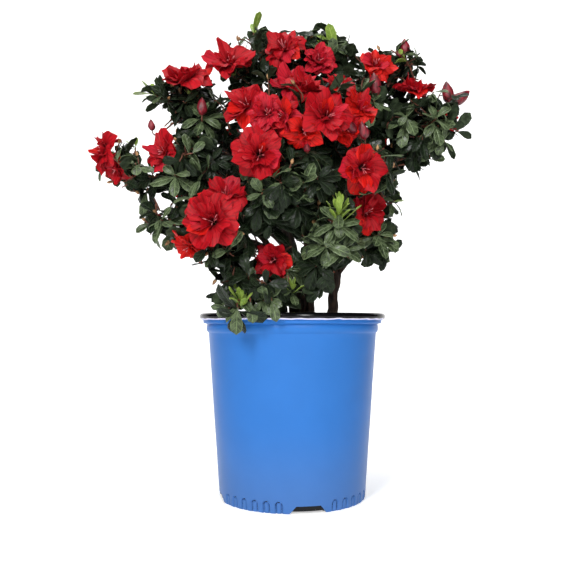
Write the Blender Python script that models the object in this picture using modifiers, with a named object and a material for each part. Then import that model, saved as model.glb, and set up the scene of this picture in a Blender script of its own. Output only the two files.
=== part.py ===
"""Azalea shrub with its nursery pot, as separate solids.

The pot is turned, and its potting mix is a plug inside it. A short flared trunk forks into five stems, and a
sixth stem rises beside it. Each bough is one tapering limb, and ends where it enters its mass of foliage. A mass
grows from one stem by a seeded rule: twigs run to evenly spread tips, and leaves, blooms and buds are fused on.
Metres, +Z up, with the front at -Y. The origin is the middle of the pot's flat underside.
"""

import math
import random
from collections import namedtuple

import bmesh
import bpy
from mathutils import Matrix, Vector

CLEARANCE = 0.0003  # between solids that meet

# Pot: a moulded plastic cone with a collar and a rolled rim
POT_HEIGHT = 0.2307
FOOT_RADIUS = 0.0914
WALL_SLOPE = 0.0716  # radius gained per metre of height
WALL_THICKNESS = 0.002
FLOOR_THICKNESS = 0.003
FOOT_CORNER = 0.002
COLLAR_FOOT = 0.205
COLLAR_RADIUS = 0.1084
COLLAR_HEIGHT = 0.0125
RIM_RADIUS = 0.118
RIM_NECK_RADIUS = 0.113
RIM_INNER_RADIUS = 0.1085
RIM_HEIGHT = 0.0122
POT_SIDES = 40

# Drainage notches in the pot's foot
NOTCH_COUNT = 4
NOTCH_TURN = math.radians(11.3)  # of the first one, from the front towards +X
NOTCH_TOP_WIDTH = 0.0286
NOTCH_FOOT_WIDTH = 0.0438
NOTCH_HEIGHT = 0.009
NOTCH_INNER_RADIUS = 0.074

# Potting mix
SOIL_TOP = 0.2040
SOIL_FOOT_RADIUS = 0.070
SOIL_FOOT_HEIGHT = 0.014

# Trunk: a stump with root flare, cut flat where it meets the potting mix and forking at its top
TRUNK_PLACE = (0.0150, 0.0)
TRUNK_LEAN = 0.0015
TRUNK_FORK = 0.2320
TRUNK_FOOT_RADIUS = 0.0185
TRUNK_FORK_RADIUS = 0.0152
TRUNK_SUNK = 0.006  # how far the trunk is first made below its cut
TRUNK_WAIST = 0.010  # height at which the root flare ends
TRUNK_SPREAD = 0.002  # radius gained below the cut
TRUNK_PINCH = 0.001  # radius lost at the waist
ROOT_COUNT = 5
ROOT_TURN = math.radians(20)  # of the first one, from +X towards +Y
ROOT_REACH = 0.036
ROOT_RADIUS = 0.0062
ROOT_TIP_RADIUS = 0.0028
ROOT_PATH = ((0.006, 0.016), (0.016, 0.006), (ROOT_REACH, -0.002))  # (outward, height) of start, bend and end

# Stems, which rise from the fork, and the one that rises from the potting mix
STEM_RING = 0.0093
STEM_FOOT_RADIUS = 0.0052
STEM_TIP_RADIUS = 0.0036
STEM_RISE = 0.008
STEM_STEPS = 5
Stem = namedtuple("Stem", "turn tip")
STEMS = {
    "left": Stem(180, (-0.060, -0.030, 0.350)),
    "front": Stem(252, (-0.020, -0.075, 0.355)),
    "front_right": Stem(324, (0.045, -0.050, 0.350)),
    "centre": Stem(36, (0.005, 0.000, 0.420)),
    "back": Stem(108, (-0.010, 0.064, 0.365)),
}
SIDE_STEM_PLACE = (0.0500, -0.0050)
SIDE_STEM_TIP = (0.075, 0.000, 0.370)
SIDE_STEM_FOOT_RADIUS = 0.0068
SIDE_STEM_TIP_RADIUS = 0.0042

# Boughs
BOUGH_FOOT_RADIUS = 0.0032
BOUGH_TIP_RADIUS = 0.0022
BOUGH_STEPS = 4
BOUGH_RISE = 0.30  # how far a bough keeps its first direction, as a share of its length
BOUGH_SPLAY = 0.65  # that direction, from 0, along the stem, to 1, straight to the mass
LEADER_RISE = 0.18  # how far a bough that goes on from a stem's tip keeps the stem's direction
BOUGH_JOINT = 0.004
BOUGH_ENTRY = 0.50  # where a bough ends, as a share of the mass's reach from its centre

# Twigs and leaves
HEART = Vector((0.0, 0.0, 0.360))  # the crown grows away from here
STALK_RADIUS = 0.0024
TWIG_FOOT_RADIUS = 0.0019
TWIG_TIP_RADIUS = 0.0019
TIPS_PER_MASS = 5
TIP_SPACING = 0.022
LEAVES_PER_TIP = 5
LEAF_LENGTH = 0.050
LEAF_WIDTH = 0.026
LEAF_THICKNESS = 0.0014
LEAF_FOLD = 0.14  # lift of a leaf's sides, as a share of its width
LEAF_DROOP = 0.16  # fall of its tip, as a share of its length
LEAF_WIDEST = 0.58
LEAF_STEP = 0.0032  # between the roots of leaves that follow each other down a twig
LEAF_SPACING = 0.007
LEAF_SLACK = 1.45  # how far leaves may stand out of the reach, as the square of a share
LEAF_SIZES = (1.0, 0.82, 0.68)
LEAF_STATIONS = 9  # along a leaf, where it is tested
LEAF_ACROSS = (-1.0, -0.5, 0.0, 0.5, 1.0)  # places tested at each station, as shares of its half width
LEAF_FREE_FROM = 3  # the station from which a leaf keeps apart from others
LEAF_ANGLE = 60.0  # degrees between a leaf and its twig
SHOOT_ANGLE = 45.0  # the same on a young shoot
ANGLE_VARIES = 12.0
LEAF_OUTWARD = 0.25  # how far a leaf leans away from the heart
TIP_TRIES = 3  # places tried for each leafy tip
TIP_SHARES = (0.42, 0.66)  # of the reach, where tips end
TIP_INWARD = -0.25  # the least outward share of a tip's direction
SHORTEST_TWIG = 0.006
BACKWARD_COST = 0.8
RETURN_COST = 0.3
TWIG_SAMPLES = (0.25, 0.35, 0.45, 0.55, 0.65, 0.75, 0.85, 0.93, 1.0)
TWIG_KNOTS = (0.35, 0.7, 0.97)  # where other twigs may leave a twig, as shares of its length
LIMB_MARGIN = 0.0022
POT_MARGIN = 0.0018
CELL_MARGIN = 0.0006
CELL_SHARE = 0.9  # masses whose reaches fill less than this share of the way between them need no plane
NEIGHBOURS = 0.16  # how far from its centre a mass looks for limbs and blooms
GOLDEN_ANGLE = math.radians(137.508)

# Blooms, double flowers of two stacked five-lobed dishes, and buds
BLOOM_HEART = Vector((0.0, 0.04, 0.415))  # blooms face away from here
BLOOM_RADIUS = 0.0290
BLOOM_DEPTH = 0.0200
INNER_BLOOM_RADIUS = 0.0190
INNER_BLOOM_LIFT = 0.0051
BLOOM_SUNK = 0.004
BLOOM_BACK = 0.6  # how far a bloom's middle stands off its point, as a share of its depth
BLOOM_SPACING = 1.75  # of blooms placed by rule, in radii
BLOOM_SHARE = 0.72  # of the reach, where such blooms open
BLOOM_OUTWARD = 0.9  # how far they keep to the outside of the crown
BLOOM_TRIES = 24
BLOOM_MARGIN = 0.0015
BLOOM_NOTCH = 0.80
BLOOM_DIP = 0.15  # how far the notches stand back, as a share of the bloom's depth
BLOOM_BOWL = 0.55  # depth of the bowl, as such a share
BUD_LENGTH = 0.024
BUD_WIDTH = 0.010
BUD_WIDEST = 0.45
BUD_SUNK = 0.002
BUD_STATIONS = (0.25, 0.5, 0.75, 1.0)  # along a bud, where it is tested
BUD_LEAVES = 2

Mass = namedtuple("Mass", "centre reach stem along blooms buds shoots extra", defaults=((), (), (), 0))
MASSES = {
    "left_tip": Mass(
        (-0.201, -0.040, 0.410), (0.042, 0.045, 0.038), "left", 0.80,
        blooms=((-0.222, -0.048, 0.428),), shoots=((-0.185, -0.040, 0.446),)),
    "left_lower": Mass(
        (-0.152, -0.050, 0.341), (0.035, 0.040, 0.035), "left", 0.62, buds=((-0.160, -0.055, 0.338),)),
    "left_front": Mass(
        (-0.089, -0.120, 0.328), (0.045, 0.040, 0.052), "left", 0.45,
        blooms=((-0.075, -0.130, 0.360), (-0.092, -0.142, 0.328), (-0.108, -0.118, 0.300))),
    "left_mid": Mass(
        (-0.123, -0.060, 0.414), (0.048, 0.045, 0.038), "left", 1.0, blooms=((-0.147, -0.060, 0.430),)),
    "centre_front": Mass(
        (-0.014, -0.130, 0.380), (0.055, 0.040, 0.042), "front", 0.76,
        blooms=((-0.038, -0.148, 0.402),), buds=((0.015, -0.150, 0.405),)),
    "low_left": Mass(
        (-0.054, -0.095, 0.262), (0.052, 0.040, 0.045), "front", 0.50,
        blooms=((-0.022, -0.090, 0.288),), shoots=((-0.067, -0.120, 0.247), (-0.064, -0.132, 0.226))),
    "centre": Mass(
        (0.009, -0.115, 0.465), (0.084, 0.045, 0.042), "front", 1.0,
        blooms=((-0.051, -0.120, 0.464), (0.000, -0.112, 0.488), (-0.006, -0.145, 0.445),
                (0.037, -0.150, 0.443), (0.077, -0.112, 0.463)),
        buds=((0.079, -0.130, 0.436),)),
    "top_centre": Mass(
        (0.025, 0.010, 0.571), (0.050, 0.045, 0.042), "centre", 1.0,
        blooms=((-0.001, -0.035, 0.560), (0.034, -0.034, 0.549)), shoots=((0.039, 0.000, 0.592),)),
    "top_left": Mass(
        (-0.057, 0.000, 0.563), (0.038, 0.044, 0.048), "centre", 0.66,
        blooms=((-0.074, -0.040, 0.543),), shoots=((-0.042, 0.000, 0.600),)),
    "back_top": Mass((0.015, 0.085, 0.530), (0.072, 0.058, 0.054), "centre", 0.36, extra=4),
    "heart": Mass((0.000, -0.030, 0.416), (0.070, 0.050, 0.070), "centre", 0.50),
    "back_left": Mass((-0.110, 0.110, 0.430), (0.064, 0.060, 0.074), "back", 0.66, extra=4),
    "back_centre": Mass((0.005, 0.135, 0.415), (0.062, 0.058, 0.074), "back", 1.0, extra=4),
    "left_side": Mass((-0.148, 0.045, 0.440), (0.042, 0.048, 0.046), "back", 0.46, extra=1),
    "left_upper": Mass(
        (-0.134, -0.020, 0.498), (0.052, 0.050, 0.050), "back", 0.82,
        blooms=((-0.121, -0.055, 0.515),), buds=((-0.104, -0.050, 0.474),),
        shoots=((-0.172, -0.020, 0.516), (-0.122, -0.042, 0.464))),
    "right_mid": Mass(
        (0.088, -0.090, 0.393), (0.042, 0.040, 0.040), "front_right", 1.0, blooms=((0.079, -0.126, 0.392),)),
    "front_shoot": Mass(
        (0.041, -0.112, 0.322), (0.035, 0.038, 0.056), "front_right", 0.50, shoots=((0.052, -0.135, 0.350),)),
    "upper_right": Mass(
        (0.078, -0.025, 0.505), (0.044, 0.042, 0.042), "front_right", 0.68,
        blooms=((0.060, -0.062, 0.504),), buds=((0.104, -0.045, 0.506),)),
    "top_right": Mass(
        (0.130, 0.010, 0.543), (0.050, 0.045, 0.042), "side", 1.0,
        blooms=((0.108, -0.022, 0.546),), buds=((0.153, 0.000, 0.574),),
        shoots=((0.147, 0.010, 0.568),)),
    "right_tip": Mass(
        (0.174, -0.010, 0.481), (0.048, 0.045, 0.060), "side", 0.70,
        blooms=((0.206, 0.008, 0.484), (0.160, -0.010, 0.512)), buds=((0.201, -0.005, 0.514),),
        shoots=((0.148, -0.028, 0.452), (0.170, -0.030, 0.476))),
    "back_right": Mass((0.105, 0.110, 0.435), (0.060, 0.060, 0.070), "side", 0.52, extra=4),
    "right_side": Mass((0.110, 0.030, 0.420), (0.041, 0.046, 0.048), "side", 0.86, extra=1),
    "right_lower": Mass(
        (0.097, -0.040, 0.326), (0.032, 0.038, 0.040), "side", 0.42, blooms=((0.088, -0.076, 0.346),)),
}

# name: (sRGB colour, roughness)
FINISHES = {
    "blue_plastic": ((0.29, 0.55, 0.88), 0.42),
    "potting_mix": ((0.13, 0.09, 0.06), 0.95),
    "bark": ((0.24, 0.17, 0.13), 0.85),
    "foliage": ((0.12, 0.23, 0.15), 0.55),
    "petals": ((0.70, 0.10, 0.14), 0.55),
}


def clear_scene():
    for obj in list(bpy.data.objects):
        bpy.data.objects.remove(obj)


def new_collection(name):
    collection = bpy.data.collections.new(name)
    bpy.context.scene.collection.children.link(collection)
    return collection


def finish(name):
    """The material of this name, made the first time it is asked for."""
    if name in bpy.data.materials:
        return bpy.data.materials[name]
    colour, roughness = FINISHES[name]
    material = bpy.data.materials.new(name)
    material.use_nodes = True
    shader = material.node_tree.nodes["Principled BSDF"]
    linear = [c / 12.92 if c <= 0.04045 else ((c + 0.055) / 1.055) ** 2.4 for c in colour]
    shader.inputs["Base Color"].default_value = (*linear, 1.0)
    shader.inputs["Roughness"].default_value = roughness
    shader.inputs["Metallic"].default_value = 0.0
    return material


def add_object(name, data, collection, material=None):
    obj = bpy.data.objects.new(name, data)
    collection.objects.link(obj)
    if material:
        data.materials.clear()
        data.materials.append(finish(material))
    return obj


def mesh_from(name, bm):
    mesh = bpy.data.meshes.new(name)
    bm.to_mesh(mesh)
    bm.free()
    return mesh


def settled_mesh(obj, name):
    """The object's evaluated mesh, where it stands."""
    graph = bpy.context.evaluated_depsgraph_get()
    mesh = bpy.data.meshes.new_from_object(obj.evaluated_get(graph))
    mesh.transform(obj.matrix_world)
    mesh.name = name
    return mesh


def weld_caps(mesh):
    """Joins the caps of a mesh made from a curve to its sides."""
    bm = bmesh.new()
    bm.from_mesh(mesh)
    bmesh.ops.remove_doubles(bm, verts=bm.verts, dist=1e-6)
    bm.to_mesh(mesh)
    bm.free()


# ---- pot and potting mix


def turned(name, profile, collection, material):
    """A solid turned from (radius, height) points that run from the axis over the outer side and back to it."""
    mesh = bpy.data.meshes.new(name)
    points = [(radius, 0.0, height) for radius, height in profile]
    mesh.from_pydata(points, [(i, i + 1) for i in range(len(points) - 1)], [])
    obj = add_object(name, mesh, collection, material)
    screw = obj.modifiers.new("Turn", "SCREW")
    screw.steps = POT_SIDES
    screw.render_steps = POT_SIDES
    screw.use_merge_vertices = True
    screw.merge_threshold = 0.0001
    screw.use_smooth_shade = True
    return obj


def wall_radius(height):
    return FOOT_RADIUS + WALL_SLOPE * height


def pot_profile():
    """From the inner floor up the inside, over the rim, down the outside and across the underside."""
    rim_foot = POT_HEIGHT - RIM_HEIGHT
    collar_top = COLLAR_FOOT + COLLAR_HEIGHT
    inside = [
        (0.0, FLOOR_THICKNESS),
        (wall_radius(FLOOR_THICKNESS) - WALL_THICKNESS, FLOOR_THICKNESS),
        (wall_radius(COLLAR_FOOT) - WALL_THICKNESS, COLLAR_FOOT - 0.0005),
        (COLLAR_RADIUS - WALL_THICKNESS, COLLAR_FOOT + 0.0012),
        (COLLAR_RADIUS - WALL_THICKNESS, collar_top),
        (RIM_INNER_RADIUS, rim_foot + 0.002),
        (RIM_INNER_RADIUS, POT_HEIGHT - 0.0025),
        (RIM_INNER_RADIUS + 0.0012, POT_HEIGHT - 0.0007),
    ]
    outside = [
        (RIM_RADIUS - 0.0055, POT_HEIGHT),
        (RIM_RADIUS - 0.0027, POT_HEIGHT),
        (RIM_RADIUS - 0.0008, POT_HEIGHT - 0.0011),
        (RIM_RADIUS, POT_HEIGHT - 0.0032),
        (RIM_RADIUS - 0.0008, POT_HEIGHT - 0.0072),
        (RIM_NECK_RADIUS, POT_HEIGHT - 0.0089),
        (RIM_NECK_RADIUS, rim_foot),
        (COLLAR_RADIUS + 0.0005, collar_top),
        (COLLAR_RADIUS, COLLAR_FOOT + 0.0015),
        (wall_radius(COLLAR_FOOT), COLLAR_FOOT),
        (wall_radius(FOOT_CORNER), FOOT_CORNER),
        (FOOT_RADIUS - FOOT_CORNER, 0.0),
        (0.0, 0.0),
    ]
    return inside + outside


def notch_cutter(index, collection):
    """A block narrower at its top than at its foot, through the pot's foot."""
    bm = bmesh.new()
    bmesh.ops.create_cube(bm, size=1.0)
    depth = 2 * (FOOT_RADIUS - NOTCH_INNER_RADIUS)
    for vert in bm.verts:
        width = NOTCH_TOP_WIDTH if vert.co.z > 0 else NOTCH_FOOT_WIDTH
        vert.co.x *= width
        vert.co.y = vert.co.y * depth - NOTCH_INNER_RADIUS - depth / 2
        vert.co.z = NOTCH_HEIGHT if vert.co.z > 0 else -NOTCH_HEIGHT / 2
    turn = NOTCH_TURN + index * 2 * math.pi / NOTCH_COUNT
    bmesh.ops.rotate(bm, verts=bm.verts, matrix=Matrix.Rotation(turn, 3, "Z"))
    cutter = add_object(f"notch_cutter_{index}", mesh_from("notch_cutter", bm), collection)
    cutter.hide_render = True
    cutter.display_type = "WIRE"
    return cutter


def make_pot(plant, cutters):
    pot = turned("pot", pot_profile(), plant, "blue_plastic")
    for index in range(NOTCH_COUNT):
        cut = pot.modifiers.new(f"Notch {index}", "BOOLEAN")
        cut.operation = "DIFFERENCE"
        cut.object = notch_cutter(index, cutters)


def make_soil(plant):
    inset = WALL_THICKNESS + CLEARANCE
    foot = FLOOR_THICKNESS + CLEARANCE
    profile = [
        (0.0, SOIL_TOP),
        (wall_radius(SOIL_TOP) - inset, SOIL_TOP),
        (wall_radius(SOIL_FOOT_HEIGHT) - inset, SOIL_FOOT_HEIGHT),
        (SOIL_FOOT_RADIUS, SOIL_FOOT_HEIGHT - 0.002),
        (SOIL_FOOT_RADIUS, foot),
        (0.0, foot),
    ]
    turned("potting_mix", profile, plant, "potting_mix")


# ---- trunk, stems and boughs


def curve_points(start, control, end, steps):
    """Points of the quadratic curve from start to end that leaves start towards control."""
    points = []
    for step in range(steps + 1):
        t = step / steps
        points.append(start * (1 - t) ** 2 + control * (2 * t * (1 - t)) + end * t**2)
    return points


def tapers(first, last, count):
    return [first + (last - first) * i / (count - 1) for i in range(count)]


def limb(name, points, radii, collection, detail):
    """A tapering limb: a curve with a round bevel, made a mesh. Detail 1 gives six sides, and 2 gives eight."""
    curve = bpy.data.curves.new(name, "CURVE")
    curve.dimensions = "3D"
    curve.bevel_depth = 1.0
    curve.bevel_resolution = detail
    curve.use_fill_caps = True
    spline = curve.splines.new("POLY")
    spline.points.add(len(points) - 1)
    for point, place, radius in zip(spline.points, points, radii):
        point.co = (*place, 1.0)
        point.radius = radius
    drawn = add_object(name, curve, collection)
    bpy.context.view_layer.update()
    mesh = settled_mesh(drawn, name)
    weld_caps(mesh)
    bpy.data.objects.remove(drawn)
    bpy.data.curves.remove(curve)
    mesh.shade_smooth()
    mesh.set_sharp_from_angle(angle=math.radians(50))
    return add_object(name, mesh, collection, "bark")


def make_trunk(plant, cutters):
    """The stump and its roots are fused, and what lies below the potting mix's surface is cut off."""
    foot = SOIL_TOP + CLEARANCE
    place = Vector((*TRUNK_PLACE, 0.0))
    lean = Vector((TRUNK_LEAN, 0.0, 0.0))
    up = Vector((0.0, 0.0, 1.0))
    stump_points = [
        place - lean + up * (foot - TRUNK_SUNK),
        place - lean + up * foot,
        place - lean * 0.4 + up * (foot + TRUNK_WAIST),
        place + up * (TRUNK_FORK - TRUNK_SUNK),
        place + up * TRUNK_FORK,
    ]
    middle = (TRUNK_FOOT_RADIUS + TRUNK_FORK_RADIUS) / 2
    below, above = TRUNK_FOOT_RADIUS + TRUNK_SPREAD, middle - TRUNK_PINCH
    radii = [below, TRUNK_FOOT_RADIUS, above, TRUNK_FORK_RADIUS, TRUNK_FORK_RADIUS]
    trunk = limb("trunk", stump_points, radii, plant, 2)
    roots = new_collection("trunk_roots")
    for index in range(ROOT_COUNT):
        turn = ROOT_TURN + index * 2 * math.pi / ROOT_COUNT
        out = Vector((math.cos(turn), math.sin(turn), 0.0))
        path = [place + out * outward + up * (foot + height) for outward, height in ROOT_PATH]
        limb(f"root_{index}", curve_points(*path, 3), tapers(ROOT_RADIUS, ROOT_TIP_RADIUS, 4), roots, 1)
    fuse(trunk, roots)
    bm = bmesh.new()
    bmesh.ops.create_cube(bm, size=0.2, matrix=Matrix.Translation((0, 0, foot - 0.1)))
    ground = add_object("ground_cutter", mesh_from("ground_cutter", bm), cutters)
    ground.hide_render = True
    ground.display_type = "WIRE"
    cut = trunk.modifiers.new("Ground", "BOOLEAN")
    cut.operation = "DIFFERENCE"
    cut.object = ground


def stem_points(foot, tip):
    """A stem stands upright on its foot and then bends towards its tip."""
    bend = foot + Vector((0, 0, STEM_RISE))
    height = tip.z - foot.z
    return [foot] + curve_points(bend, bend + Vector((0, 0, 0.35 * height)), tip, STEM_STEPS)


def stem_path(name):
    """(points, radii) of the stem of this name."""
    if name == "side":
        foot = Vector((*SIDE_STEM_PLACE, SOIL_TOP + CLEARANCE))
        points = stem_points(foot, Vector(SIDE_STEM_TIP))
        return points, tapers(SIDE_STEM_FOOT_RADIUS, SIDE_STEM_TIP_RADIUS, len(points))
    turn = math.radians(STEMS[name].turn)
    foot = Vector((*TRUNK_PLACE, TRUNK_FORK + CLEARANCE))
    foot += Vector((math.cos(turn), math.sin(turn), 0.0)) * STEM_RING
    points = stem_points(foot, Vector(STEMS[name].tip))
    return points, tapers(STEM_FOOT_RADIUS, STEM_TIP_RADIUS, len(points))


def place_along(points, share):
    """The point at this share of a path's length, and the path's direction there."""
    lengths = [(b - a).length for a, b in zip(points, points[1:])]
    left = share * sum(lengths)
    for a, b, length in zip(points, points[1:], lengths):
        if left <= length + 1e-9:
            return a + (b - a) * (left / length), (b - a).normalized()
        left -= length
    return points[-1], (points[-1] - points[-2]).normalized()


def bough_path(mass):
    """(points, radii) of the bough from its stem into this mass."""
    stem, _ = stem_path(mass.stem)
    start, direction = place_along(stem, mass.along)
    centre = Vector(mass.centre)
    way = centre - start
    end = centre - way.normalized() * (min(mass.reach) * BOUGH_ENTRY)
    if mass.along < 1.0:
        leaving = direction.lerp(way.normalized(), BOUGH_SPLAY).normalized()
        points = curve_points(start, start + leaving * (way.length * BOUGH_RISE), end, BOUGH_STEPS)
        return points, tapers(BOUGH_FOOT_RADIUS, BOUGH_TIP_RADIUS, len(points))
    _, stem_radii = stem_path(mass.stem)
    start = start + direction * CLEARANCE
    bend = start + direction * BOUGH_JOINT
    points = [start] + curve_points(bend, bend + direction * (way.length * LEADER_RISE), end, BOUGH_STEPS)
    return points, tapers(stem_radii[-1], BOUGH_TIP_RADIUS, len(points))


def make_limbs(plant, cutters):
    """Stems and boughs. A bough's foot is cut to fit round its stem."""
    fitted = {}
    for name in [*STEMS, "side"]:
        points, radii = stem_path(name)
        limb(f"stem_{name}", points, radii, plant, 2)
        cutter = limb(f"fit_{name}", points, [r + CLEARANCE for r in radii], cutters, 2)
        cutter.hide_render = True
        cutter.display_type = "WIRE"
        fitted[name] = cutter
    for name, mass in MASSES.items():
        points, radii = bough_path(mass)
        bough = limb(f"bough_{name}", points, radii, plant, 1)
        if mass.along < 1.0:
            cut = bough.modifiers.new("Seat", "BOOLEAN")
            cut.operation = "DIFFERENCE"
            cut.object = fitted[mass.stem]


# ---- masses of foliage


def all_limbs():
    """(a, b, radius) of every straight stretch of the stems and boughs."""
    paths = [stem_path(name) for name in [*STEMS, "side"]] + [bough_path(mass) for mass in MASSES.values()]
    return [(a, b, r) for points, radii in paths for a, b, r in zip(points, points[1:], radii)]


def distance_to(a, b, point):
    along = b - a
    share = max(0.0, min(1.0, (point - a).dot(along) / along.length_squared))
    return (a + along * share - point).length


def clear_of_pot(point):
    """True above the rim, outside it, or inside it above the potting mix."""
    radius = math.hypot(point.x, point.y)
    if point.z > POT_HEIGHT + POT_MARGIN or radius > RIM_RADIUS + POT_MARGIN:
        return True
    return radius < wall_radius(SOIL_TOP) - WALL_THICKNESS - POT_MARGIN and point.z > SOIL_TOP + POT_MARGIN


def reach_along(mass, direction):
    """How far a mass's ellipsoid reaches from its centre in this direction."""
    return 1.0 / math.sqrt(sum((d / r) ** 2 for d, r in zip(direction, mass.reach)))


def cell_planes(name):
    """(point, normal) of the planes that part this mass from each of the others, with normals pointing away."""
    mass = MASSES[name]
    planes = []
    for other_name, other in MASSES.items():
        if other_name == name:
            continue
        way = Vector(other.centre) - Vector(mass.centre)
        direction = way.normalized()
        own, its = reach_along(mass, direction), reach_along(other, direction)
        if own + its > way.length * CELL_SHARE:
            planes.append((Vector(mass.centre) + way * (own / (own + its)), direction))
    return planes


def in_cell(points, planes):
    return all((p - at).dot(normal) < -CELL_MARGIN for p in points for at, normal in planes)


def in_reach(points, mass, slack=1.0):
    centre = Vector(mass.centre)
    return all(sum(((p - centre)[i] / mass.reach[i]) ** 2 for i in range(3)) < slack for p in points)


def spread(count, phase):
    """Directions spread evenly over a sphere, on a spiral turned by phase."""
    found = []
    for index in range(count):
        height = 1 - (2 * index + 1) / count
        radius = math.sqrt(1 - height * height)
        turn = phase + index * GOLDEN_ANGLE
        found.append(Vector((radius * math.cos(turn), radius * math.sin(turn), height)))
    return found


def basis(forward, up, place, size=1.0):
    """A matrix that turns +X to forward and +Z near up, scales by size and moves to place."""
    side = up.cross(forward).normalized()
    top = forward.cross(side)
    turn = Matrix((forward, side, top)).transposed().to_4x4()
    return Matrix.Translation(place) @ turn @ Matrix.Diagonal((size, size, size, 1.0))


def leaf_mesh():
    """A pointed blade one unit long: root at the origin, tip on +X, sides lifted and tip let down."""
    bm = bmesh.new()
    bmesh.ops.create_uvsphere(bm, u_segments=4, v_segments=2, radius=0.5)
    width, thickness = LEAF_WIDTH / LEAF_LENGTH, LEAF_THICKNESS / LEAF_LENGTH
    for vert in bm.verts:
        x, y, z = vert.co
        along = LEAF_WIDEST if abs(x) < 0.1 else x + 0.5
        lift = LEAF_FOLD * width * abs(2 * y) - LEAF_DROOP * along**2
        vert.co = Vector((along, y * width, z * thickness + lift))
    return mesh_from("leaf", bm)


def leaf_grid():
    """Points spread over a unit leaf: at each station along it, some across its breadth there."""
    points = []
    for station in range(1, LEAF_STATIONS + 1):
        along = station / LEAF_STATIONS
        share = along / LEAF_WIDEST if along < LEAF_WIDEST else (1 - along) / (1 - LEAF_WIDEST)
        half = share * LEAF_WIDTH / LEAF_LENGTH / 2
        for across in LEAF_ACROSS:
            lift = LEAF_FOLD * 2 * half * abs(across) - LEAF_DROOP * along**2
            points.append(Vector((along, across * half, lift)))
    return points


def bud_mesh():
    """A slim eight-faced bud one unit long, from the origin along +X."""
    bm = bmesh.new()
    bmesh.ops.create_uvsphere(bm, u_segments=4, v_segments=2, radius=0.5)
    width = BUD_WIDTH / BUD_LENGTH
    for vert in bm.verts:
        x, y, z = vert.co
        along = BUD_WIDEST if abs(x) < 0.1 else x + 0.5
        vert.co = Vector((along, y * width, z * width))
    return mesh_from("bud", bm)


def dish_mesh(radius, depth, corners, turn=0.0):
    """A dish that opens to +X, with its point at the origin. Ten corners give it five lobes."""
    bm = bmesh.new()
    bmesh.ops.create_cone(bm, cap_ends=True, cap_tris=True, segments=corners, radius1=0.0, radius2=radius, depth=depth)
    rim = [vert for vert in bm.verts if math.hypot(vert.co.x, vert.co.y) > radius / 2]
    for index, vert in enumerate(sorted(rim, key=lambda v: math.atan2(v.co.y, v.co.x))):
        if index % 2 and corners == 10:
            vert.co.x *= BLOOM_NOTCH
            vert.co.y *= BLOOM_NOTCH
            vert.co.z -= BLOOM_DIP * depth
    middle = next(v for v in bm.verts if math.hypot(v.co.x, v.co.y) < radius / 2 and v.co.z > 0)
    middle.co.z -= BLOOM_BOWL * depth
    bmesh.ops.translate(bm, verts=bm.verts, vec=(0, 0, depth / 2))
    to_x = Matrix.Rotation(math.pi / 2, 3, "Y") @ Matrix.Rotation(turn, 3, "Z")
    bmesh.ops.rotate(bm, verts=bm.verts, matrix=to_x)
    return mesh_from("dish", bm)


def twig_mesh(start, end, foot_radius, tip_radius):
    """A three-sided twig between two points."""
    bm = bmesh.new()
    way = end - start
    bmesh.ops.create_cone(
        bm, cap_ends=True, cap_tris=True, segments=3, radius1=foot_radius, radius2=tip_radius, depth=way.length)
    matrix = Matrix.Translation((start + end) / 2) @ way.to_track_quat("Z", "Y").to_matrix().to_4x4()
    bmesh.ops.transform(bm, verts=bm.verts, matrix=matrix)
    return mesh_from("twig", bm)


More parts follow.
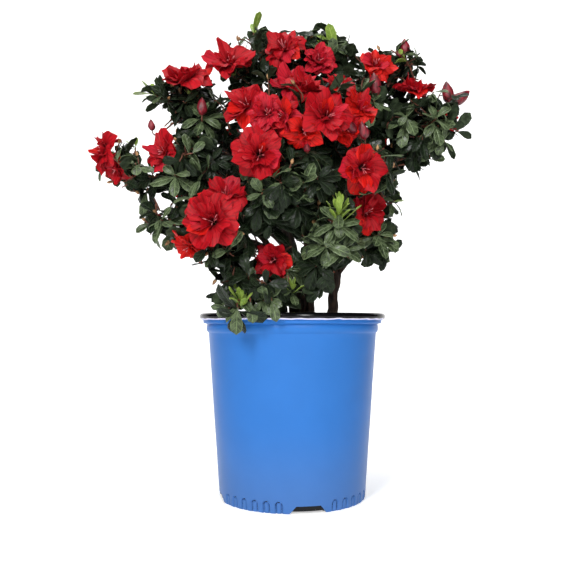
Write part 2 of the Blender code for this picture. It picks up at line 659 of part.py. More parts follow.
class Grower:
    """Grows one mass: it keeps the twigs' network and the pieces to be fused."""

    def __init__(self, name, shapes, limbs, blooms):
        self.name = name
        self.mass = MASSES[name]
        self.centre = Vector(self.mass.centre)
        self.planes = cell_planes(name)
        self.random = random.Random(name)
        self.leaf_grid = leaf_grid()
        self.shapes = shapes
        self.limbs = [(a, b, r) for a, b, r in limbs if distance_to(a, b, self.centre) < NEIGHBOURS]
        self.near_blooms = [bloom for bloom in blooms if (bloom[1] - self.centre).length < NEIGHBOURS]
        self.own_blooms = [bloom for bloom in blooms if bloom[0] == name]
        self.network = []  # (point, direction, length of twig back to the bough)
        self.pieces = []  # (mesh, name of its finish)
        self.blades = []  # points on the leaves' outer parts, which keep apart

    def clear(self, points, own=None):
        """True if the points keep off the limbs, the pot and every bloom but their own."""
        middle = points[len(points) // 2]
        span = max((point - middle).length for point in points) + 0.01
        limbs = [(a, b, r) for a, b, r in self.limbs if distance_to(a, b, middle) < span]
        blooms = [bloom for bloom in self.near_blooms if bloom is not own]
        for point in points:
            if not clear_of_pot(point):
                return False
            if any(distance_to(a, b, point) < r + LIMB_MARGIN for a, b, r in limbs):
                return False
            if any(in_bloom(point, bloom) for bloom in blooms):
                return False
        return True

    def add_twig(self, start, end, foot_radius, tip_radius, behind):
        self.pieces.append((twig_mesh(start, end, foot_radius, tip_radius), "bark"))
        way = end - start
        for share in TWIG_KNOTS:
            self.network.append((start + way * share, way.normalized(), behind + way.length * share))

    def grow_to(self, target, bloom=None):
        """Adds the best twig to the target and returns its direction, or None where each would leave its space.

        A twig costs its length, more where it turns back, and a share of the way back to the bough.
        """
        def cost(knot):
            way = target - knot[0]
            backwards = max(0.0, -way.normalized().dot(knot[1]))
            return way.length * (1 + BACKWARD_COST * backwards) + RETURN_COST * knot[2]

        if not in_cell([target], self.planes):
            return None
        for start, _, behind in sorted(self.network, key=cost):
            way = target - start
            if way.length < SHORTEST_TWIG:
                continue
            samples = [start + way * share for share in TWIG_SAMPLES]
            if self.clear(samples, bloom) and in_cell(samples, self.planes):
                self.add_twig(start, target, TWIG_FOOT_RADIUS, TWIG_TIP_RADIUS, behind)
                return way.normalized()
        return None

    def add_shape(self, name, matrix, material):
        mesh = self.shapes[name].copy()
        mesh.transform(matrix)
        self.pieces.append((mesh, material))

    def add_leaf(self, place, direction, size):
        """Adds a leaf with its root at place, in the middle of a twig, if all of it stays in the mass's space."""
        upward = Vector((0, 0, 1)) * 0.5 + (place - HEART).normalized() * 0.8
        matrix = basis(direction, upward, place, size)
        corners = [matrix @ vert.co for vert in self.shapes["leaf"].vertices]
        if not in_reach(corners, self.mass, LEAF_SLACK) or not in_cell(corners, self.planes):
            return False
        samples = [matrix @ point for point in self.leaf_grid]
        blade = samples[LEAF_FREE_FROM * len(LEAF_ACROSS) :: 2]
        if any((a - b).length < LEAF_SPACING for a in blade for b in self.blades) or not self.clear(samples):
            return False
        self.blades += blade
        self.add_shape("leaf", matrix, "foliage")
        return True

    def add_rosette(self, end, axis, count, spread_angle=LEAF_ANGLE):
        """Leaves round the end of a twig, each a step further down it and a golden angle on from the last."""
        across = axis.orthogonal().normalized()
        phase = self.random.uniform(0, math.tau)
        for index in range(count):
            place = end - axis * (LEAF_STEP * (index + 0.5))
            turn = Matrix.Rotation(phase + index * GOLDEN_ANGLE, 3, axis)
            angle = math.radians(spread_angle + self.random.uniform(-ANGLE_VARIES, ANGLE_VARIES))
            direction = (axis * math.cos(angle) + (turn @ across) * math.sin(angle)).normalized()
            direction = (direction + (end - HEART).normalized() * LEAF_OUTWARD).normalized()
            for size in LEAF_SIZES:
                if self.add_leaf(place, direction, size * LEAF_LENGTH):
                    break

    def add_bloom(self, bloom):
        _, middle, facing = bloom
        back = bloom_back(middle, facing)
        if self.grow_to(back + facing * BLOOM_SUNK, bloom) is None:
            return
        for shape, forward in (("outer_dish", 0.0), ("inner_dish", INNER_BLOOM_LIFT)):
            self.add_shape(shape, basis(facing, facing.orthogonal(), back + facing * forward), "petals")

    def add_bud(self, place):
        direction = self.grow_to(place)
        if direction is None:
            return
        direction = (direction + (place - HEART).normalized()).normalized()
        outline = [place + direction * (BUD_LENGTH * share) for share in BUD_STATIONS]
        if not self.clear(outline) or not in_cell(outline, self.planes):
            return
        matrix = basis(direction, direction.orthogonal(), place - direction * BUD_SUNK, BUD_LENGTH)
        self.add_shape("bud", matrix, "petals")
        self.add_rosette(place, direction, BUD_LEAVES)

    def tips(self):
        """Evenly spread places for leafy tips, nearer the outside of the crown than its heart."""
        outward = (self.centre - HEART).normalized()
        places = []
        for direction in spread(TIPS_PER_MASS * TIP_TRIES, self.random.uniform(0, math.tau)):
            if direction.dot(outward) < TIP_INWARD:
                continue
            share = self.random.uniform(*TIP_SHARES)
            places.append(self.centre + direction * (reach_along(self.mass, direction) * share))
        self.random.shuffle(places)
        return places

    def grow(self):
        points, _ = bough_path(self.mass)
        way = points[-1] - points[-2]
        start = points[-1] + way.normalized() * CLEARANCE
        end = start + way.normalized() * (self.centre - start).length
        self.add_twig(start, end, STALK_RADIUS, TWIG_FOOT_RADIUS, 0.0)
        for bloom in self.own_blooms:
            self.add_bloom(bloom)
        taken = [bloom[1] for bloom in self.own_blooms]
        for place in self.mass.buds:
            self.add_bud(Vector(place))
            taken.append(Vector(place))
        for place in self.mass.shoots:
            direction = self.grow_to(Vector(place))
            if direction is not None:
                self.add_rosette(Vector(place), direction, LEAVES_PER_TIP, SHOOT_ANGLE)
                taken.append(Vector(place))
        leafy = 0
        for place in self.tips():
            if leafy == TIPS_PER_MASS or any((place - t).length < TIP_SPACING for t in taken):
                continue
            direction = self.grow_to(place)
            if direction is not None:
                self.add_rosette(place, direction, LEAVES_PER_TIP)
                taken.append(place)
                leafy += 1


def facing_of(place):
    return (place - BLOOM_HEART).normalized()


def in_bloom(point, bloom):
    """True if the point lies in the cone that a bloom fills, or close to it."""
    _, middle, facing = bloom
    way = point - bloom_back(middle, facing)
    depth = way.dot(facing)
    if not -BLOOM_MARGIN < depth < BLOOM_DEPTH + BLOOM_MARGIN:
        return False
    share = min(1.0, (depth + BLOOM_MARGIN) / BLOOM_DEPTH)
    return (way - facing * depth).length < BLOOM_RADIUS * share + BLOOM_MARGIN


def bloom_back(middle, facing):
    return middle - facing * (BLOOM_DEPTH * BLOOM_BACK)


def all_blooms():
    """(mass, middle, facing) of every bloom, those with a given place first and then those spread by rule."""
    blooms = []
    for name, mass in MASSES.items():
        blooms += [(name, Vector(place), facing_of(Vector(place))) for place in mass.blooms]
    for name, mass in MASSES.items():
        centre = Vector(mass.centre)
        outward = (centre - HEART).normalized()
        dice = random.Random(f"{name} blooms")
        added = 0
        for direction in spread(BLOOM_TRIES, dice.uniform(0, math.tau)):
            direction = (direction + outward * BLOOM_OUTWARD).normalized()
            middle = centre + direction * (reach_along(mass, direction) * BLOOM_SHARE)
            facing = facing_of(middle)
            across = facing.orthogonal().normalized() * BLOOM_RADIUS
            rim = [middle + Matrix.Rotation(math.radians(turn), 3, facing) @ across for turn in (0, 90, 180, 270)]
            spaced = all((middle - other[1]).length > BLOOM_RADIUS * BLOOM_SPACING for other in blooms)
            if added < mass.extra and spaced and in_cell(rim, cell_planes(name)):
                blooms.append((name, middle, facing))
                added += 1
    return blooms


def fuse(base, helpers):
    """Joins a collection's objects to the base with one union, and keeps only the outer skin of the body."""
    union = base.modifiers.new("Union", "BOOLEAN")
    union.operation = "UNION"
    union.operand_type = "COLLECTION"
    union.collection = helpers
    union.solver = "EXACT"
    union.material_mode = "TRANSFER"
    bpy.context.view_layer.update()
    mesh = settled_mesh(base, base.name)
    base.modifiers.clear()
    old = base.data
    base.data = mesh
    bpy.data.meshes.remove(old)
    for obj in list(helpers.objects):
        bpy.data.objects.remove(obj)
    bpy.data.collections.remove(helpers)
    keep_largest(mesh)


def signed_volume(faces):
    """The volume inside a closed set of triangles, negative where they face inwards."""
    return sum(f.verts[0].co.dot(f.verts[1].co.cross(f.verts[2].co)) for f in faces) / 6


def keep_largest(mesh):
    """Drops loose scraps and fills sealed hollows: only the island of faces with the largest volume stays."""
    bm = bmesh.new()
    bm.from_mesh(mesh)
    bmesh.ops.triangulate(bm, faces=bm.faces)
    islands = []
    unseen = set(bm.faces)
    while unseen:
        island, front = set(), [unseen.pop()]
        while front:
            face = front.pop()
            island.add(face)
            near = {f for edge in face.edges for f in edge.link_faces} & unseen
            unseen -= near
            front += near
        islands.append(island)
    largest = max(islands, key=signed_volume)
    spare = [face for island in islands if island is not largest for face in island]
    bmesh.ops.delete(bm, geom=spare, context="FACES")
    bm.to_mesh(mesh)
    bm.free()


def make_masses(plant):
    shapes = {
        "leaf": leaf_mesh(),
        "bud": bud_mesh(),
        "outer_dish": dish_mesh(BLOOM_RADIUS, BLOOM_DEPTH, 10),
        "inner_dish": dish_mesh(INNER_BLOOM_RADIUS, BLOOM_DEPTH, 5, math.radians(17)),
    }
    limbs = all_limbs()
    blooms = all_blooms()
    for name in MASSES:
        grower = Grower(name, shapes, limbs, blooms)
        grower.grow()
        stalk, *others = grower.pieces
        base = add_object(f"mass_{name}", stalk[0], plant, stalk[1])
        helpers = new_collection(f"pieces_{name}")
        for index, (mesh, material) in enumerate(others):
            add_object(f"piece_{index}", mesh, helpers, material)
        fuse(base, helpers)


def main():
    clear_scene()
    plant = new_collection("potted_azalea")
    cutters = new_collection("cutters")
    cutters.hide_render = True
    make_pot(plant, cutters)
    make_soil(plant)
    make_trunk(plant, cutters)
    make_limbs(plant, cutters)
    make_masses(plant)


main()
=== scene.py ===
import math
import random

import bpy
import numpy as np
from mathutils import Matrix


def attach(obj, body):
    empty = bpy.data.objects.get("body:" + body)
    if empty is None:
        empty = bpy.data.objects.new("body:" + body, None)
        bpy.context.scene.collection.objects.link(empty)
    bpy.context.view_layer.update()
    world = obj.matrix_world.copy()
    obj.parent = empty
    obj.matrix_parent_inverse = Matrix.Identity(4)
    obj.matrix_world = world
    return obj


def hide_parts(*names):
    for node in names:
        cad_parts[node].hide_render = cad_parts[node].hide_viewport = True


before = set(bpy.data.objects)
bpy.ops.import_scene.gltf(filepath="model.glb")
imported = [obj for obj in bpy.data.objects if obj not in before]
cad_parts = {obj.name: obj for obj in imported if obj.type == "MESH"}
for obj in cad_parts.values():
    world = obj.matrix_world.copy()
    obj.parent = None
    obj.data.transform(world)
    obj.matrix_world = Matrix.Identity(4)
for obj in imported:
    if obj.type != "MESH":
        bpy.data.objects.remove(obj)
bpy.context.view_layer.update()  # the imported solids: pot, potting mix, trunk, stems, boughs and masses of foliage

goldenAngle = math.radians(137.508)
up = np.array([0.0, 0.0, 1.0])

# The eye: its place in metres, how far it looks up, its lens and sensor, and how many pixels wide it sees
view = {"place": (-0.0055, -0.942, 0.2215), "rise": math.radians(2.53), "lens": 46.0, "sensor": 36.0,
        "pixels": 576}


def hexToLinear(code):
    # sRGB hex to linear: c / 12.92 below 0.04045, else ((c + 0.055) / 1.055) to the power 2.4
    share = np.array([int(code[i:i + 2], 16) for i in (1, 3, 5)]) / 255
    linear = np.where(share <= 0.04045, share / 12.92, ((share + 0.055) / 1.055) ** 2.4)
    return (*linear.tolist(), 1.0)


def unit(vectors):
    # each vector divided by its length
    vectors = np.asarray(vectors, float)
    return vectors / np.maximum(np.linalg.norm(vectors, axis=-1, keepdims=True), 1e-12)


def dot(a, b):
    return (a * b).sum(-1, keepdims=True)


def smooth(x, low, high):
    # 0 below low, 1 above high, and 3x² − 2x³ between
    share = np.clip((x - low) / (high - low), 0, 1)
    return share * share * (3 - 2 * share)


def waves(points, length, seed, count=14):
    # noise between about −1 and 1: a sum of sine waves in random directions, whose wavelengths are 0.6 to 1.7
    # of length
    dice = np.random.default_rng(seed)
    ways = unit(dice.normal(size=(count, 3))) * (2 * np.pi / (length * dice.uniform(0.6, 1.7, (count, 1))))
    return np.sin(points @ ways.T + dice.uniform(0, 2 * np.pi, count)).sum(-1) * (1.4 / math.sqrt(count))


def pixelsOf(points):
    # a point turned into the eye's axes and divided by its depth, in pixels from the upper left corner
    away = points - np.array(view["place"])
    cosine, sine = math.cos(view["rise"]), math.sin(view["rise"])
    depth = away[..., 1] * cosine + away[..., 2] * sine
    height = away[..., 2] * cosine - away[..., 1] * sine
    focal = view["pixels"] * view["lens"] / view["sensor"]
    return np.stack([view["pixels"] / 2 + focal * away[..., 0] / depth,
                     view["pixels"] / 2 - focal * height / depth], -1)


# Meshes from whole arrays

def around(count):
    # angles in even steps round a full turn
    return np.linspace(0, 2 * np.pi, count, endpoint=False)


def gridOf(rows, columns):
    # two arrays: each row's value and each column's value, over the whole grid
    return np.meshgrid(rows, columns, indexing="ij")


def sheetFaces(rows, columns):
    # a thin closed sheet: a grid on top, the same grid turned over below it, and a strip of quads round both
    count = rows * columns
    corner = (np.arange(rows - 1)[:, None] * columns + np.arange(columns - 1)).ravel()
    top = np.stack([corner, corner + columns, corner + columns + 1, corner + 1], 1)
    edge = np.concatenate([
        np.arange(rows) * columns, (rows - 1) * columns + np.arange(1, columns),
        np.arange(rows - 1)[::-1] * columns + columns - 1, np.arange(columns - 1)[::-1]])
    rim = np.stack([edge[:-1] + count, edge[1:] + count, edge[1:], edge[:-1]], 1)
    return [top, top[:, ::-1] + count, rim]


def tubeFaces(rings, sides):
    # quads between rings that follow each other, and one flat face at each end
    ring = np.arange(rings - 1)[:, None] * sides
    side, after = np.arange(sides), (np.arange(sides) + 1) % sides
    quads = np.stack([ring + side, ring + after, ring + after + sides, ring + side + sides], -1)
    return [quads.reshape(-1, 4), side[None, ::-1], side[None] + (rings - 1) * sides]


def repeated(faces, copies, step):
    # the same faces once for each copy, whose points follow each other
    return [(f[None] + (np.arange(copies) * step)[:, None, None]).reshape(-1, f.shape[1]) for f in faces]


def sheetCopies(rows, columns, copies):
    return repeated(sheetFaces(rows, columns), copies, rows * columns * 2)


def tubeCopies(rings, sides, copies):
    return repeated(tubeFaces(rings, sides), copies, rings * sides)


def thicken(points, thickness):
    # a grid (copies, rows, columns, 3) and its twin, half the thickness to each side of it along its normals
    normals = unit(np.cross(np.gradient(points, axis=1), np.gradient(points, axis=2)))
    both = np.stack([points + normals * thickness / 2, points - normals * thickness / 2], 1)
    return both.reshape(-1, 3)


def gridUv(copies, rows, columns):
    # u across and v along each copy of a thickened grid
    v, u = gridOf(np.linspace(0, 1, rows), np.linspace(0, 1, columns))
    return np.tile(np.stack([u, v], -1).reshape(-1, 2), (copies * 2, 1))


def addObject(name, data):
    thing = bpy.data.objects.new(name, data)
    bpy.context.scene.collection.objects.link(thing)
    return thing


def addPiece(name, points, faces, materials, kinds=None, uv=None, nodes=(), sharp=50):
    # one object from arrays: points (n, 3), lists of faces, the material of each list, and uv for each point
    mesh = bpy.data.meshes.new(name)
    corners = np.concatenate([f.ravel() for f in faces])
    sizes = np.concatenate([np.full(len(f), f.shape[1]) for f in faces])
    mesh.vertices.add(len(points))
    mesh.vertices.foreach_set("co", np.asarray(points, np.float32).ravel())
    mesh.loops.add(len(corners))
    mesh.loops.foreach_set("vertex_index", corners.astype(np.int32))
    mesh.polygons.add(len(sizes))
    mesh.polygons.foreach_set("loop_start", (np.cumsum(sizes) - sizes).astype(np.int32))
    for material in materials:
        mesh.materials.append(material)
    if kinds is not None:
        numbers = np.concatenate([np.broadcast_to(kind, len(f)) for kind, f in zip(kinds, faces)])
        mesh.polygons.foreach_set("material_index", numbers.astype(np.int32))
    if uv is not None:
        layer = mesh.uv_layers.new(name="surface")
        layer.data.foreach_set("uv", np.asarray(uv, np.float32)[corners].ravel())
    mesh.update(calc_edges=True)
    mesh.validate()
    mesh.shade_smooth()
    mesh.set_sharp_from_angle(angle=math.radians(sharp))
    piece = addObject(name, mesh)
    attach(piece, "root")
    if nodes:
        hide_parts(*nodes)
    print(name, len(points), "points,", int((sizes - 2).sum()), "triangles")
    return piece


def socketOf(thing):
    # a node stands for its first output
    return thing.outputs[0] if isinstance(thing, bpy.types.Node) else thing


def addNode(nodes, kind, inputs=None, stops=(), **settings):
    # adds a shader node of this kind, sets what it is told, fills or links its inputs, and gives a colour
    # ramp its (place, hex) stops
    node = nodes.new("ShaderNode" + kind)
    for name, value in settings.items():
        setattr(node, name, value)
    for name, value in (inputs or {}).items():
        if isinstance(value, (bpy.types.Node, bpy.types.NodeSocket)):
            node.id_data.links.new(socketOf(value), node.inputs[name])
        else:
            node.inputs[name].default_value = value
    while stops and len(node.color_ramp.elements) < len(stops):
        node.color_ramp.elements.new(0.5)
    for index, (place, code) in enumerate(stops):
        node.color_ramp.elements[index].position = place
        node.color_ramp.elements[index].color = hexToLinear(code)
    return node


def newMaterial(name, **sockets):
    # a Principled material with these values on its own sockets
    material = bpy.data.materials.new(name)
    material.use_nodes = True
    nodes = material.node_tree.nodes
    shader = nodes["Principled BSDF"]
    for socket, value in sockets.items():
        shader.inputs[socket.replace("_", " ")].default_value = value
    return material, nodes, shader


def link(shader, **outputs):
    # links nodes or their outputs to the shader's sockets of these names
    for socket, output in outputs.items():
        shader.id_data.links.new(socketOf(output), shader.inputs[socket.replace("_", " ")])


# Leaves: each tone is its dark and its light colour and its gloss. The shaded tone is painted shade, dark and dull,
# for leaves deep in the crown, and the old tone also serves as painted half shade

leafLook = {
    "tones": {"shaded": ("#020402", "#0b0f08", 0.07), "old": ("#050a05", "#2b3824", 0.18),
              "mid": ("#131d10", "#76885f", 0.28), "young": ("#63802b", "#a3b95a", 0.24)},
    "roughness": 0.30, "veinPairs": 6, "veinSlant": 0.16, "veinDepth": 0.0008, "spotSize": 0.006,
    "under": ("#1c2518", "#3c4833"), "underRoughness": 0.72, "underGloss": 0.12}


def leafMaterial(name, dark, light, gloss):
    # Evergreen leaf with a waxy skin: a soft greyish gloss over deep green, a pale midrib, faint side veins
    # and a pale margin that is a painted highlight along the edge
    material, nodes, shader = newMaterial(
        name, Roughness=leafLook["roughness"], IOR=1.45, Specular_IOR_Level=gloss)
    place = addNode(nodes, "TexCoord")
    parts = addNode(nodes, "SeparateXYZ", {"Vector": place.outputs["UV"]})
    across = addNode(nodes, "Math", {0: parts.outputs["X"], 1: 0.5}, operation="SUBTRACT")
    outwards = addNode(nodes, "Math", {0: across}, operation="ABSOLUTE")
    side = addNode(nodes, "Math", {0: outwards, 1: 2.0}, operation="MULTIPLY")
    midrib = addNode(nodes, "MapRange", {
        "Value": side, "From Min": 0.03, "From Max": 0.13, "To Min": 1.0, "To Max": 0.0})
    slant = addNode(nodes, "Math", {0: side, 1: leafLook["veinSlant"]}, operation="MULTIPLY")
    rising = addNode(nodes, "Math", {0: parts.outputs["Y"], 1: slant}, operation="SUBTRACT")
    counted = addNode(nodes, "Math", {0: rising, 1: leafLook["veinPairs"]}, operation="MULTIPLY")
    fromVein = addNode(nodes, "Math", {0: counted, 1: 0.5}, operation="PINGPONG")
    vein = addNode(nodes, "MapRange", {
        "Value": fromVein, "From Min": 0.0, "From Max": 0.12, "To Min": 0.7, "To Max": 0.0})
    # the pale margin is a painted highlight along the edge; it also sinks a little in the bump
    margin = addNode(nodes, "MapRange", {
        "Value": side, "From Min": 0.78, "From Max": 0.97, "To Min": 0.0, "To Max": 0.6})
    ribs = addNode(nodes, "Math", {0: midrib, 1: vein}, operation="MAXIMUM")
    veins = addNode(nodes, "Math", {0: ribs, 1: margin}, operation="MAXIMUM")
    spots = addNode(nodes, "TexNoise", {
        "Vector": place.outputs["Object"], "Scale": 1 / leafLook["spotSize"], "Detail": 2.0})
    fromVeins = addNode(nodes, "Math", {0: veins, 1: 0.36}, operation="MULTIPLY")
    fromSpots = addNode(nodes, "Math", {0: spots, 1: 0.60}, operation="MULTIPLY")
    mixed = addNode(nodes, "Math", {0: fromVeins, 1: fromSpots}, operation="ADD")
    colour = addNode(nodes, "ValToRGB", {"Fac": mixed}, stops=((0.15, dark), (0.75, light)))
    sunk = addNode(nodes, "Math", {0: veins, 1: -1.0}, operation="MULTIPLY")
    bump = addNode(nodes, "Bump", {"Height": sunk, "Distance": leafLook["veinDepth"], "Strength": 0.8})
    link(shader, Base_Color=colour, Normal=bump)
    return material


def underMaterial():
    # Underside of the leaf, without wax: matt, paler and greyer
    material, nodes, shader = newMaterial(
        "leafUnderside", Roughness=leafLook["underRoughness"], Specular_IOR_Level=leafLook["underGloss"])
    place = addNode(nodes, "TexCoord")
    spots = addNode(nodes, "TexNoise", {
        "Vector": place.outputs["Object"], "Scale": 1 / leafLook["spotSize"], "Detail": 2.0})
    dark, light = leafLook["under"]
    link(shader, Base_Color=addNode(
        nodes, "ValToRGB", {"Fac": spots}, stops=((0.3, dark), (0.7, light))))
    return material


# Petals: each kind of red is its deep colour, in the veins and as painted shade towards the throat, and its clear
# one

petalLook = {
    "reds": {"petalCrimson": ("#240002", "#a40916"), "petalScarlet": ("#2e0102", "#bf130d"),
             "petalRose": ("#300206", "#b21829")},
    "roughness": 0.55, "gloss": 0.16, "thinness": 0.12, "bleed": 0.0014, "bleedRed": (1.0, 0.06, 0.05),
    "sheen": 0.05, "sheenTint": "#ff8c9a", "veins": (26.0, 1.6, 1.0), "veinDepth": 0.0006}


def petalMaterial(name, deep, clear):
    # Petal: thin moist tissue with fine veins that run outwards, a red deepened towards the throat as painted
    # shade, and a pinkish sheen where it turns
    material, nodes, shader = newMaterial(
        name, Roughness=petalLook["roughness"], Specular_IOR_Level=petalLook["gloss"],
        Subsurface_Weight=petalLook["thinness"], Subsurface_Scale=petalLook["bleed"],
        Subsurface_Radius=petalLook["bleedRed"], Sheen_Weight=petalLook["sheen"], Sheen_Roughness=0.4,
        Sheen_Tint=hexToLinear(petalLook["sheenTint"]))
    place = addNode(nodes, "TexCoord")
    along = addNode(nodes, "Mapping", {"Vector": place.outputs["UV"], "Scale": petalLook["veins"]})
    veins = addNode(nodes, "TexNoise", {"Vector": along, "Scale": 1.0, "Detail": 2.0})
    parts = addNode(nodes, "SeparateXYZ", {"Vector": place.outputs["UV"]})
    # painted shade: the red deepens towards the petal's foot, where the throat lies in shade
    throat = addNode(nodes, "MapRange", {
        "Value": parts.outputs["Y"], "From Min": 0.15, "From Max": 0.7, "To Min": -0.35, "To Max": 0.12})
    tone = addNode(nodes, "Math", {0: veins, 1: throat}, operation="ADD")
    colour = addNode(nodes, "ValToRGB", {"Fac": tone}, stops=((0.24, deep), (0.68, clear)))
    bump = addNode(nodes, "Bump", {
        "Height": veins, "Distance": petalLook["veinDepth"], "Strength": 0.5})
    link(shader, Base_Color=colour, Normal=bump)
    return material


# Grained stuff: its dark and light colour, the grain's size, how far that is drawn out upwards, roughness,
# and depth of the relief

grainLook = {
    "furrowedBark": ("#17100c", "#4a362a", 0.004, 3.5, 0.85, 0.0012),  # old bark: matt, with dark furrows
    "youngTwigBark": ("#3a1d14", "#7a4630", 0.003, 1.5, 0.62, 0.0004),  # reddish brown and smoother
    "peatAndBarkFines": ("#0e0907", "#3a281b", 0.004, 1.0, 0.95, 0.002),  # damp crumbs, nearly black
    "compostedPineBark": ("#20140d", "#5d4029", 0.003, 1.0, 0.88, 0.0008),  # chips, brown and dry on top
    "budSkin": ("#2c030a", "#8a1526", 0.004, 3.0, 0.45, 0.0004),  # furled petals, wine red with dark streaks
    "budScales": ("#6a4326", "#b48a5c", 0.003, 2.0, 0.6, 0.0004),  # papery, light brown
    "sepals": ("#3f4a22", "#7f8a3f", 0.003, 2.0, 0.6, 0.0003),  # yellowish green, matt
    "stamenThreads": ("#b83a48", "#e08a8c", 0.003, 2.0, 0.5, 0.0001)}  # pink and nearly smooth


def grainMaterial(name, dark, light, size, stretch, roughness, depth):
    # Colour and relief from one noise on Object coordinates, drawn out along Z by stretch
    material, nodes, shader = newMaterial(name, Roughness=roughness)
    place = addNode(nodes, "TexCoord")
    drawn = addNode(nodes, "Mapping", {
        "Vector": place.outputs["Object"], "Scale": (1.0, 1.0, 1 / stretch)})
    grain = addNode(nodes, "TexNoise", {
        "Vector": drawn, "Scale": 1 / size, "Detail": 4.0, "Roughness": 0.65})
    colour = addNode(nodes, "ValToRGB", {"Fac": grain}, stops=((0.36, dark), (0.66, light)))
    bump = addNode(nodes, "Bump", {"Height": grain, "Distance": depth, "Strength": 1.0})
    link(shader, Base_Color=colour, Normal=bump)
    return material


# near its foot the pot's blue is painted paler, up to a height: painted light from the floor
potLook = {
    "print": "#2c68b0", "floorLitBlue": "#406aa6", "printEdge": "#d6d3ea", "bare": "#0b0b0e", "printTop": 0.2226,
    "edgeFrom": 0.0015, "edgeTo": 0.0025, "edgeWidth": 0.0014, "ragged": 0.0022, "raggedSize": 0.016,
    "floorLitTop": 0.11, "mottleSize": 0.035, "grainSize": 0.002, "black": ("#050506", "#0d0d10")}


def printedPlastic():
    # Blow-moulded polypropylene with a printed blue skin: smooth and half gloss, faintly mottled. The print
    # ends in a ragged pale line below the rim, and the bare plastic above it is black
    material, nodes, shader = newMaterial(
        "printedPolypropylene", Roughness=0.36, IOR=1.49, Specular_IOR_Level=0.14)
    place = addNode(nodes, "TexCoord")
    parts = addNode(nodes, "SeparateXYZ", {"Vector": place.outputs["Object"]})
    ragged = addNode(nodes, "TexNoise", {
        "Vector": place.outputs["Object"], "Scale": 1 / potLook["raggedSize"], "Detail": 2.0})
    shift = addNode(nodes, "Math", {
        0: ragged, 1: potLook["ragged"], 2: -potLook["ragged"] / 2}, operation="MULTIPLY_ADD")
    height = addNode(nodes, "Math", {0: parts.outputs["Z"], 1: shift}, operation="ADD")
    above = addNode(nodes, "MapRange", {
        "Value": height, "From Min": potLook["printTop"] - potLook["edgeFrom"],
        "From Max": potLook["printTop"] + potLook["edgeTo"]})
    line = potLook["edgeWidth"] / (potLook["edgeFrom"] + potLook["edgeTo"])
    skin = addNode(nodes, "ValToRGB", {"Fac": above}, stops=(
        (0.0, potLook["print"]), (0.36, potLook["print"]), (0.38, potLook["printEdge"]),
        (0.38 + line, potLook["printEdge"]), (0.40 + line, potLook["bare"]), (1.0, potLook["bare"])))
    # paler blue towards the foot: painted light, the floor's glow on the lower wall
    fade = addNode(nodes, "MapRange", {
        "Value": parts.outputs["Z"], "From Min": 0.0, "From Max": potLook["floorLitTop"]},
        interpolation_type="SMOOTHSTEP")
    floorLitBlue = addNode(nodes, "ValToRGB", {"Fac": fade}, stops=(
        (0.0, potLook["floorLitBlue"]), (1.0, potLook["print"])))
    low = addNode(nodes, "Math", {
        0: parts.outputs["Z"], 1: potLook["floorLitTop"]}, operation="LESS_THAN")
    whole = addNode(nodes, "Mix", {"Factor": low, "A": skin, "B": floorLitBlue}, data_type="RGBA")
    mottle = addNode(nodes, "TexNoise", {
        "Vector": place.outputs["Object"], "Scale": 1 / potLook["mottleSize"], "Detail": 3.0})
    shade = addNode(nodes, "MapRange", {"Value": mottle, "To Min": 0.93, "To Max": 1.05})
    tinted = addNode(nodes, "VectorMath", {0: whole.outputs["Result"], 1: shade}, operation="MULTIPLY")
    bump = addNode(nodes, "Bump", {"Height": mottle, "Distance": 0.0006, "Strength": 0.25})
    link(shader, Base_Color=tinted, Normal=bump)
    return material


def barePlastic():
    # The same polypropylene unprinted: black with a soft gloss, and a fine moulded grain
    material, nodes, shader = newMaterial(
        "blackPolypropylene", Roughness=0.14, IOR=1.49, Specular_IOR_Level=0.25)
    place = addNode(nodes, "TexCoord")
    grain = addNode(nodes, "TexNoise", {
        "Vector": place.outputs["Object"], "Scale": 1 / potLook["grainSize"], "Detail": 2.0})
    dark, light = potLook["black"]
    colour = addNode(nodes, "ValToRGB", {"Fac": grain}, stops=((0.3, dark), (0.7, light)))
    bump = addNode(nodes, "Bump", {"Height": grain, "Distance": 0.0002, "Strength": 0.4})
    link(shader, Base_Color=colour, Normal=bump)
    return material


leafMaterials = [
    leafMaterial(f"waxyLeaf{tone.capitalize()}", *look) for tone, look in leafLook["tones"].items()]
leafMaterials.append(underMaterial())
petalMaterials = [petalMaterial(name, *reds) for name, reds in petalLook["reds"].items()]
grained = {name: grainMaterial(name, *look) for name, look in grainLook.items()}
print("materials", len(bpy.data.materials))


# Pot: a turned shell with drainage notches and flutes in its foot

pot = {
    "height": 0.2307, "foot": 0.0914, "slope": 0.0716, "wall": 0.002, "floor": 0.003,
    "collarFoot": 0.2062, "collar": 0.1084, "rim": 0.118, "neck": 0.113, "bore": 0.1085,
    "roll": (0.1149, 0.2266), "rollRadii": (0.0031, 0.0041), "printEnd": 0.2247, "footHeight": 0.03,
    "columns": 880, "notches": 4, "notchTurn": math.radians(11.3), "notchTop": 0.0286, "notchFoot": 0.0438,
    "notchHeight": 0.009, "notchDepth": 0.0164,
    "flutes": 6, "fluteFrom": math.radians(21.4), "flutePitch": math.radians(9.44), "fluteWidth": 0.0088,
    "fluteHeight": 0.0142, "fluteDepth": 0.0021}


